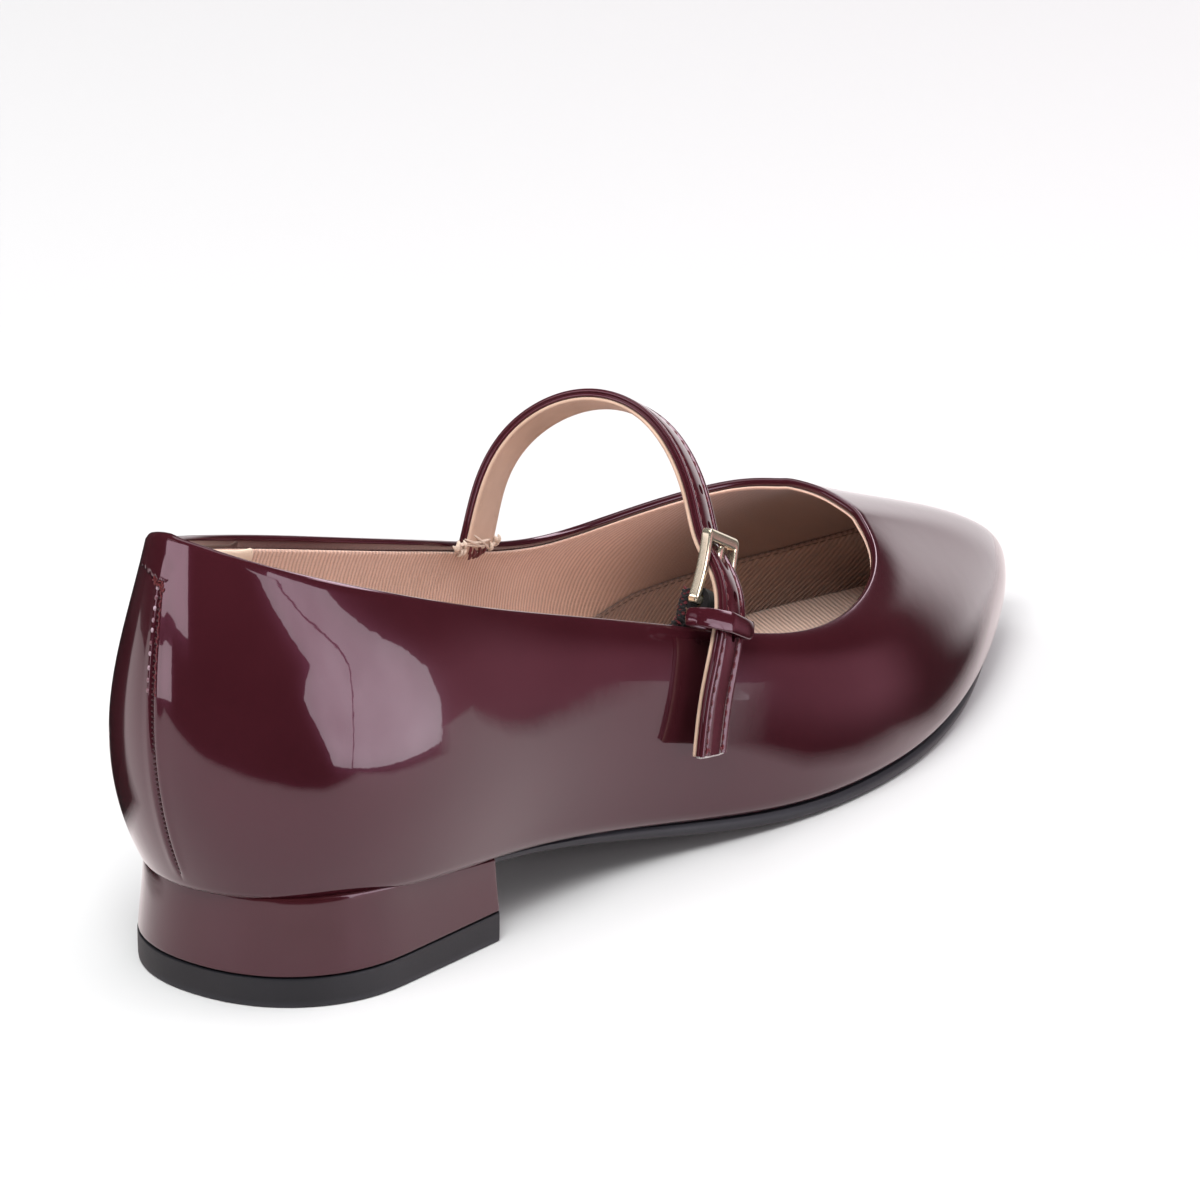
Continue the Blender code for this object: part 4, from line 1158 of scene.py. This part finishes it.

# %% [markdown]
# ## Strap
# The strap is made flat on the bench and bent afterwards. Its patent skin is folded round the edge of
# a filler, which leaves two beads with a groove between them along each side, and a line of stitches
# lies in a shallow channel inside them. A beige microfibre back is glued under it.
# The flat strap has its length along X, its width along Y and its outside up. The on_strap function
# then bends everything made on the bench along the strap's curve over the instep.

# %% The strap's curve
# along, across, up; tilt dips the front edge and swing turns it to the inner side, in degrees
STRAP = np.array((
    (115.5, -26.1, 39.5, 5.0, -4.0), (116.2, -23.1, 51.5, 11.0, -4.0),
    (119.2, -22.0, 62.0, 18.0, -7.0), (123.5, -18.6, 70.5, 25.0, -7.0),
    (127.7, -11.6, 76.3, 28.0, -7.0), (130.4, -2.7, 78.4, 28.5, -8.0),
    (131.0, 6.6, 76.4, 29.0, -8.0), (129.6, 14.4, 71.1, 29.0, -8.0),
    (127.1, 20.1, 64.5, 29.0, -8.5), (124.4, 24.5, 58.3, 29.0, -8.5),
    (123.0, 28.9, 53.8, 28.0, -8.5), (120.6, 32.7, 48.7, 26.5, -7.0),
    (116.7, 34.7, 41.6, 23.5, -5.0), (113.4, 35.1, 32.9, 19.0, -4.0),
    (111.3, 35.3, 22.8, 15.0, -4.0)))
SAMPLES = 900
curve = spline(np.linspace(0, 1, len(STRAP)), STRAP, np.linspace(0, 1, SAMPLES))
strap_line = curve[:, :3]
tilt, swing = np.radians(curve[:, 3:]).T
strap_way = unit(np.gradient(strap_line, axis=0))
strap_wide = np.column_stack([np.cos(tilt) * np.cos(swing), np.sin(swing),
                              -np.sin(tilt) * np.cos(swing)])
strap_wide = unit(strap_wide - (strap_wide * strap_way).sum(1, keepdims=True) * strap_way)
strap_out = np.cross(strap_wide, strap_way)
strap_reach = lengths_along(strap_line)
STRAP_LENGTH = strap_reach[-1]


def on_strap(distance, widthways, outward):
    """Bench millimetres to the last's millimetres."""
    line, wide, out, way = (np.stack([np.interp(distance, strap_reach, part) for part in table.T], -1)
                            for table in (strap_line, strap_wide, strap_out, strap_way))
    beyond = np.minimum(distance, 0) + np.maximum(distance - STRAP_LENGTH, 0)
    return (line + unit(wide) * widthways[:, None] + unit(out) * outward[:, None]
            + unit(way) * beyond[:, None])


print("strap length:", round(STRAP_LENGTH, 1), "mm")

# %% [markdown]
# A section is a row of points round the strap's edge. The flat pattern is rolled up along it like a
# long tube, welded, and closed at both ends. The sections of the skin and of the back are the same on
# both sides, so only one half of each is written down.

# %% Rolled sections
def rolled(name, section, stations):
    """A long piece with one section: rows of the pattern go round it, columns along it."""
    piece, column, row = flat_pattern(name, len(stations), len(section) + 1)
    section = np.array(list(section) + [section[0]])
    move_points(piece, np.column_stack([stations[column], section[row]]) * MM)
    in_edit(piece, weld, at_open_edges(bpy.ops.mesh.edge_face_add), face_out)
    return piece


def mirrored(half):
    return list(half) + [(-y, z) for y, z in half[-2:0:-1]]


STRAP_START, STRAP_END = 10.0, STRAP_LENGTH - 0.1
SKIN_HALF = (
    (0.0, 1.20), (1.1, 1.18), (1.8, 1.10), (2.25, 0.98), (2.5, 0.86), (2.7, 0.80), (2.95, 0.86),
    (3.2, 1.04), (3.52, 1.18), (3.88, 1.18), (4.12, 1.06), (4.24, 0.88), (4.26, 0.68),
    (4.16, 0.50), (3.96, 0.38), (3.98, 0.28), (4.18, 0.20), (4.30, 0.04), (4.30, -0.16),
    (4.18, -0.34), (3.95, -0.43), (2.0, -0.45), (0.0, -0.45))
BACK_HALF = (
    (0.0, -0.50), (2.0, -0.50), (3.9, -0.50), (4.22, -0.58), (4.30, -0.80), (4.26, -1.02),
    (4.05, -1.16), (3.3, -1.20), (3.05, -1.14), (2.8, -1.20), (1.5, -1.20), (0.0, -1.20))
CORE = ((3.9, -0.42), (3.9, 0.55), (2.0, 0.85), (-2.0, 0.85), (-3.9, 0.55), (-3.9, -0.42))
strap = rolled("strap_skin", mirrored(SKIN_HALF), np.linspace(STRAP_START, STRAP_END, 200))
strap_back = rolled("strap_back", mirrored(BACK_HALF),
                    np.linspace(STRAP_START - 0.2, STRAP_END + 0.15, 200))
core = rolled("strap_core", CORE, np.linspace(STRAP_END - 2.0, STRAP_END + 0.4, 4))
print("strap pieces made flat:", strap.name, strap_back.name, core.name)

# %% [markdown]
# The holes are punched while the strap is flat. A punch is an oval cylinder, and the boolean modifier
# takes it out of the strap and of its back. The hole the buckle's pin sits in is a little longer.

# %% Punched holes
# distance along the strap, way off its middle, and the oval's length and width
HOLES = [(distance, 0.2, 1.0, 0.72) for distance in (79.9, 87.1, 101.7, 109.0)]
PIN_HOLE = (94.4, 0.0, 2.3, 1.15)
for distance, sideways, long, wide in HOLES + [PIN_HOLE]:
    deselect()
    bpy.ops.mesh.primitive_cylinder_add(vertices=20, radius=1.0 * MM, depth=8 * MM,
                                        location=(distance * MM, sideways * MM, 0))
    punch = bpy.context.object
    punch.scale = (long, wide, 1.0)
    bpy.ops.object.transform_apply()
    for piece in (strap, strap_back):
        modify(piece, "BOOLEAN", operation="DIFFERENCE", solver="EXACT", object=punch)
    bpy.data.objects.remove(punch, do_unlink=True)
print("holes punched:", len(HOLES) + 1)

# %% [markdown]
# Microfibre is a soft, dull cloth with a short nap. The core is the white edge of the filler. Each
# part is bent along the strap's curve, and edges that are sharp on the real strap are kept sharp.

# %% Strap materials
microfibre = soft_leather("beige_microfibre", (0.50, 0.345, 0.26), (0.36, 0.245, 0.18), 0.9)
filler = soft_leather("white_filler", (0.46, 0.43, 0.42), (0.34, 0.31, 0.30), 0.9)
for piece, material in ((strap, strap_patent), (strap_back, microfibre), (core, filler)):
    put(piece, on_strap(*points_of(piece).T))
    in_edit(piece, face_out)
    finish_piece(piece, material, "patent_strap")
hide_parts("strap")
for piece, sharp in ((strap, 40), (core, 30)):
    pick(piece)
    bpy.ops.object.shade_smooth_by_angle(angle=math.radians(sharp))

# %% [markdown]
# ## Stitches
# One stitch is modelled once: a short six-sided rod, swollen in the middle and pinched at its ends,
# where the thread dives into the leather. Every row of stitching is copies of it, each turned to the
# direction of its seam and to the surface it lies on, then joined into one piece.

# %% One stitch
def slice_at(height):
    return lambda: bpy.ops.mesh.bisect(plane_co=(0, 0, height), plane_no=(0, 0, 1))


deselect()
bpy.ops.mesh.primitive_cylinder_add(vertices=6, radius=1.0, depth=2.0, end_fill_type="TRIFAN")
stitch = bpy.context.object
stitch.name = "one_stitch"
in_edit(stitch, slice_at(-0.55), slice_at(0.55))
for vertex in stitch.data.vertices:
    if abs(vertex.co.z) > 0.7:
        vertex.co.x *= 0.45
        vertex.co.y = vertex.co.y * 0.45 - 0.9
smooth(stitch)
print("one stitch:", len(stitch.data.polygons), "faces")


def sew(name, spots, material, slot, length, width, lift):
    """Lay a copy of the stitch at each spot: its middle, its direction and the way out."""
    copies = []
    for middle, way, out in spots:
        way, out = Vector(way).normalized(), Vector(out).normalized()
        side = out.cross(way).normalized()
        out = way.cross(side)
        turn = Matrix((side * width / 2, out * lift, way * length / 2)).transposed() * MM
        copies.append(add_object(name, stitch.data.copy()))
        copies[-1].data.transform(Matrix.Translation(Vector(middle)) @ turn.to_4x4())
    pick(copies[0])
    for copy in copies:
        copy.select_set(True)
    bpy.ops.object.join()
    piece = bpy.context.object
    piece.name = piece.data.name = name
    in_edit(piece, face_out)
    finish_piece(piece, material, slot)


# %% [markdown]
# Thread is twisted from plies, so its colour and height change in fine slanting steps. The strap's
# skin is sewn to its back along both edges: burgundy thread outside, beige thread inside.

# %% Thread
def thread(name, colour, shine):
    finish = Finish(name, Roughness=shine, Sheen_Weight=0.06)
    twist = finish.noise(5200.0)
    return finish.shade(Base_Color=finish.ramp(twist, (0.25, times(0.55, colour)), (0.7, colour)),
                        Normal=finish.bump(twist, 0.00004, 0.8))


burgundy_thread, red_thread, dark_thread, cream_thread, black_thread, brown_thread = (
    thread(name + "_thread", colour, shine) for name, colour, shine in (
        ("burgundy", (0.100, 0.010, 0.016), 0.5), ("red", (0.115, 0.016, 0.018), 0.5),
        ("dark", (0.030, 0.005, 0.007), 0.5), ("cream", (0.66, 0.52, 0.42), 0.7),
        ("black", (0.012, 0.011, 0.012), 0.6), ("brown", (0.12, 0.075, 0.058), 0.7)))


def strap_spots(distances, widthways, outward, slant=0.0):
    """Middle, way along the strap and way out of it for each stitch."""
    wide, off = np.full(len(distances), widthways), np.full(len(distances), outward)
    middles = on_strap(distances, wide, off)
    ahead = on_strap(distances + 0.3, wide + slant * 0.3, off)
    higher = on_strap(distances, wide, off + 0.3)
    return list(zip(to_world(middles), direction(ahead - middles), direction(higher - middles)))


def strap_spot(distance, widthways, outward, along=0.0, across=1.0, inside=False):
    """One spot whose way is mixed from the way along the strap and the way across it."""
    middle, way, out = strap_spots(np.array([distance]), widthways, outward)[0]
    return middle, across * np.cross(way, out) + along * way, -out if inside else out


STITCH_PITCH = 2.35
stitched = np.arange(STRAP_START + 3.0, STRAP_END - 1.6, STITCH_PITCH)
for name, side in (("strap_stitches_front", 1), ("strap_stitches_heel", -1)):
    sew(name, strap_spots(stitched, side * 2.7, 0.92, slant=-0.20 * side), burgundy_thread,
        "patent_strap", 1.70, 0.52, 0.30)
back_spots = strap_spots(stitched + 1.1, 3.05, -1.14) + strap_spots(stitched + 1.1, -3.05, -1.14)
sew("strap_back_stitches", [(middle, way, -out) for middle, way, out in back_spots], microfibre,
    "patent_strap", 1.75, 0.42, 0.16)
end_spots = [strap_spot(STRAP_END - 0.95, widthways, 0.98, along=lean)
             for widthways, lean in ((-2.7, 0.9), (-1.9, -0.6), (1.9, -0.5), (2.7, 0.7))]
sew("strap_end_stitches", end_spots, burgundy_thread, "patent_strap", 1.5, 0.6, 0.42)

# %% [markdown]
# Inside, the strap's other end is held at the edge of the lining by a few thick turns of cream thread,
# with a knot at one side and a loose tail at the other. Frayed bits of leather show below them. They
# are the same stitch again, strewn by sines, which look random but come out the same each time.

# %% Sewn end
INSIDE = -1.35
SKEW = -0.065             # the turns run level, while the strap leans


def level_spot(distance, widthways, outward, along, across):
    return strap_spot(distance + SKEW * widthways, widthways, outward, along, across, inside=True)


turns = [level_spot(distance, widthways, INSIDE, slant, 1.0) for distance, widthways, slant in (
    (11.1, -1.6, 0.12), (11.5, -0.8, 0.01), (11.3, 0.2, 0.18), (10.8, -0.9, 0.05))]
knot = [level_spot(10.8 + 0.7 * math.cos(3.7 * number),
                   (-6.9 if number < 9 else 4.3) + 1.3 * math.sin(2.1 * number),
                   INSIDE - 0.1 + 0.25 * math.sin(5.0 * number),
                   math.sin(2.4 * number), math.cos(2.4 * number)) for number in range(14)]
bits = [level_spot(10.2 - 1.2 * abs(math.sin(1.9 * number)),
                   -3.4 + 0.55 * number + 0.3 * math.sin(4.1 * number),
                   INSIDE - 0.1, 1.0, math.sin(2.9 * number)) for number in range(9)]
sew("sewn_end_thread", turns, cream_thread, "patent_strap", 8.2, 0.75, 0.5)
sew("sewn_end_knot", knot, cream_thread, "patent_strap", 1.9, 0.85, 0.55)
sew("sewn_end_bits", bits, red_thread, "patent_strap", 1.9, 0.6, 0.4)

# %% [markdown]
# ## Keeper and elastic
# The keeper is a small loop of the same patent leather that holds the strap's tail. It is a closed
# pattern: its rows go round the section of the band, with two soft edges, and its columns go round
# the strap. A power of the sine and the cosine makes that path squarer than an oval.

# %% Keeper
keeper_at = strap_reach[int(0.824 * (SAMPLES - 1))]
KEEPER_STEPS = 72
# along the strap as a share of half the band, and how far out from the inside of the band
BAND = (
    (-1.0, 0.30), (-1.02, 0.48), (-0.97, 0.66), (-0.84, 0.80), (-0.5, 0.93), (0.0, 1.0),
    (0.5, 0.93), (0.84, 0.80), (0.97, 0.66), (1.02, 0.48), (1.0, 0.30), (0.92, 0.14),
    (0.78, 0.06), (0.0, 0.0), (-0.78, 0.06), (-0.92, 0.14))
keeper, column, row = flat_pattern("keeper", KEEPER_STEPS + 1, len(BAND) + 1)
share, thick = np.array(BAND + BAND[:1])[row].T
turn = 2 * np.pi * (column % KEEPER_STEPS) / KEEPER_STEPS
side = np.sign(np.cos(turn)) * np.abs(np.cos(turn))**0.72
rise = np.sign(np.sin(turn)) * np.abs(np.sin(turn))**0.48
widthways = (np.where(side > 0, 5.1, 8.9) + thick * 0.95) * side
outward = (1.72 + thick * 0.95 + np.where(rise > 0, 0.75, 0.0)) * rise
outward -= 0.5 * np.maximum(0.0, -4.3 - widthways)
along = (keeper_at + 1.68 * share - 0.02 * widthways
         - 0.45 * np.clip((widthways - 2.5) / 2.6, 0, 1)**2)
put(keeper, on_strap(along, widthways, outward))
in_edit(keeper, weld, face_out)
smooth(keeper)
finish_piece(keeper, keeper_patent, "patent_keeper", "keeper_loop")

# %% [markdown]
# The buckle hangs on a piece of black elastic that is folded round its bar and sewn inside the
# topline. Webbing is dull, with a coarse weave that shows as bumps.

# %% Elastic
def webbing(name, colour):
    finish = Finish(name, Roughness=0.85, Sheen_Weight=0.1, Specular_IOR_Level=0.25)
    weave, fuzz = finish.noise(1500.0, stretch=(1.0, 1.0, 0.35)), finish.noise(4200.0, 3.0)
    height = finish.math("MULTIPLY_ADD", fuzz, 0.4, weave)
    return finish.shade(Base_Color=finish.ramp(height, (0.4, times(0.5, colour)), (0.9, colour)),
                        Normal=finish.bump(height, 0.00018, 0.9))


elastic = webbing("black_elastic", (0.011, 0.0095, 0.010))
tab = copy_of_node("buckle_tab", "elastic_tab", 0.2, 40, 1)
finish_piece(tab, elastic, "tab_elastic", "buckle_tab")

# %% [markdown]
# The cut edge of the elastic is sewn over in a zigzag, with two threads at once, so every third
# stitch that shows is burgundy and the others are black.

# %% Zigzag on the elastic
ZIGZAGS = 26
zigzag = {"burgundy": [], "black": []}
for number in range(ZIGZAGS):
    rise = -4.6 - 0.34 * number
    outward = np.interp(-rise, (4.5, 7.0, 10.2, 12.8), (-2.4, -2.5, -2.4, -4.1))
    lean = 0.9 if number % 2 else -0.9
    spot = on_buckle(-4.3 - 0.5 * math.sin(math.pi * number / (ZIGZAGS - 1)), rise, outward)
    zigzag["burgundy" if number % 3 == 0 else "black"].append(
        (to_world(spot), direction(0.55 * up_buckle + lean * off_buckle), direction(-across_buckle)))
sew("elastic_zigzag", zigzag["burgundy"], burgundy_thread, "tab_elastic", 2.0, 0.62, 0.45)
sew("elastic_zigzag_black", zigzag["black"], black_thread, "tab_elastic", 2.2, 0.7, 0.55)

# %% [markdown]
# ## Back seam
# The two quarters of the upper meet at the back of the heel. A small tab of leather runs from the
# outer quarter over the top of the seam to the inner side, and its lower edge is cut raw. It is a
# grid laid on the folded topline: it stands proud at the inner side and melts into the outer one.

# %% Tab over the seam
TAB_REACH, TAB_END = 9.0, 6.2
TAB_COLUMNS, TAB_ROWS = 57, 33
seam_tab, column, row = flat_pattern("seam_tab", TAB_COLUMNS, TAB_ROWS)
side = np.linspace(-TAB_REACH, TAB_END, TAB_COLUMNS)[column]
lowest = (-SEAM_TOP - 0.9 - 0.30 * (side + 1.0) + 0.22 * np.sin(side * 3.1)
          + 0.12 * np.sin(side * 7.7 + 1)) * (1 - np.clip((side - 0.6) / 5.0, 0, 1) * 0.35)
travel = lowest + (2.6 - lowest) * row / (TAB_ROWS - 1)
height = travel - lowest
outer_side = ease((side + 0.4) / 3.4)
proud = 0.45 * ease((TAB_END - side) / 7.0) * (1 - outer_side + outer_side * ease(height / 6.0)) - 0.03
proud -= 0.12 * np.clip(1 - height / 0.6, 0, 1) * (1 - outer_side)
proud -= 0.10 * np.clip(1 - (side + TAB_REACH) / 0.6, 0, 1)
put(seam_tab, collar(np.mod(side, ROUND), travel, proud))
in_edit(seam_tab, face_out)
turn_over_if(seam_tab, sum(face.normal.y * face.area for face in seam_tab.data.polygons[:200]) < 0)
thicken(seam_tab, 0.35, -1.0)
finish_piece(seam_tab, upper_patent, "patent_upper")

# %% [markdown]
# The seam is closed with small stitches: two beaded rows at the top, where it takes the most strain,
# and one close ladder below. Between the holes the leather swells into small pillows, coloured at
# random from dark burgundy to a pale pink that is a painted highlight, and a few frayed fibres hang
# from the tab's raw edge.

# %% Seam stitches
def seam_spots(from_top, sides, depth, crossing=True):
    """Spots beside the back seam. Their way leads round the shoe, or down the row if not crossing."""
    places = np.mod(sides, ROUND)
    share = share_below_top(places, from_top)
    middles, out = skin(places, share, depth)
    if crossing:
        ahead, _ = skin(np.mod(sides + 0.3, ROUND), share, depth)
    else:
        ahead, _ = skin(np.mod(np.interp(from_top + 0.4, from_top, sides), ROUND),
                        share_below_top(places, from_top + 0.4), depth)
    return list(zip(to_world(middles), direction(ahead - middles), direction(out)))


def seam_spot(from_top, side, depth, along, up):
    """One spot whose way is mixed from the way round the shoe and the way up."""
    middle, way, out = seam_spots(np.array([from_top]), np.array([side]), depth)[0]
    return middle, along * way + up * UP, out


pillow_from_top = SEAM_TOP + 1.9 + np.cumsum([0, 1.8, 1.9, 2.1, 1.8, 2.3, 1.9, 2.6, 2.2, 1.9])
pillow_side = np.interp(pillow_from_top, (SEAM_TOP, SEAM_TOP + 8, SEAM_TOP + 26),
                        (-0.62, -0.85, -1.0))
# painted highlight: the pale pink of the pillows stands for light caught on their bulges
pillow = Finish("patent_pillow_painted_highlight", Roughness=0.30, Coat_Weight=0.8, Coat_Roughness=0.16)
pillow.shade(Base_Color=pillow.ramp(pillow.noise(700.0), (0.35, (0.10, 0.035, 0.045)),
                                    (0.75, (0.40, 0.31, 0.36))))
sew("seam_pillows", seam_spots(pillow_from_top, pillow_side, 0.0, crossing=False), pillow.material,
    "patent_upper", 1.35, 0.85, 0.50)
loops = [seam_spot(SEAM_TOP + 1.0 + 0.80 * number, 0.62 + 0.14 * math.sin(2.3 * number), 0.02,
                   1.0, -0.9 if number % 2 else 0.7) for number in range(26)]
frays = [seam_spot(SEAM_TOP + 0.7 + 0.081 * number + 0.55 * math.sin(4.3 * number),
                   -2.0 + 0.27 * number, -0.25, math.cos(2.7 * number), math.sin(2.7 * number))
         for number in range(13)]
sew("seam_loops", loops, burgundy_thread, "patent_upper", 1.35, 0.50, 0.40)
sew("seam_frays", frays, red_thread, "patent_upper", 0.95, 0.34, 0.30)
ladder_from_top = np.arange(SEAM_TOP + 1.6, wall_height([0.0])[0] - 0.6, 1.02)
sew("seam_ladder", seam_spots(ladder_from_top, np.full(len(ladder_from_top), -0.02), 0.18),
    dark_thread, "patent_upper", 0.85, 0.50, 0.22)

# %% [markdown]
# The sock is sewn to the lining along its upper edge, one stitch every two millimetres. The spots
# follow the table of that edge, a little below it, and face into the shoe.

# %% Stitches of the sock
def sock_line(places):
    return skin(places, sock_edge(places) - 0.012,
                (LINING_FACE + 0.70) * (1 - toe_slack(sock_sewn)))


sock_sewn = np.arange(136.0, 414.0, 2.0)
middles, facing = sock_line(sock_sewn)
ahead = sock_line(sock_sewn + 0.5)[0]
sew("sock_stitches", zip(to_world(middles), direction(ahead - middles), direction(-facing)),
    brown_thread, "insole_cloth", 1.3, 0.30, 0.14)

# %% [markdown]
# The one stitch that was copied has done its work and goes.

# %% Tidy up
bpy.data.objects.remove(stitch, do_unlink=True)
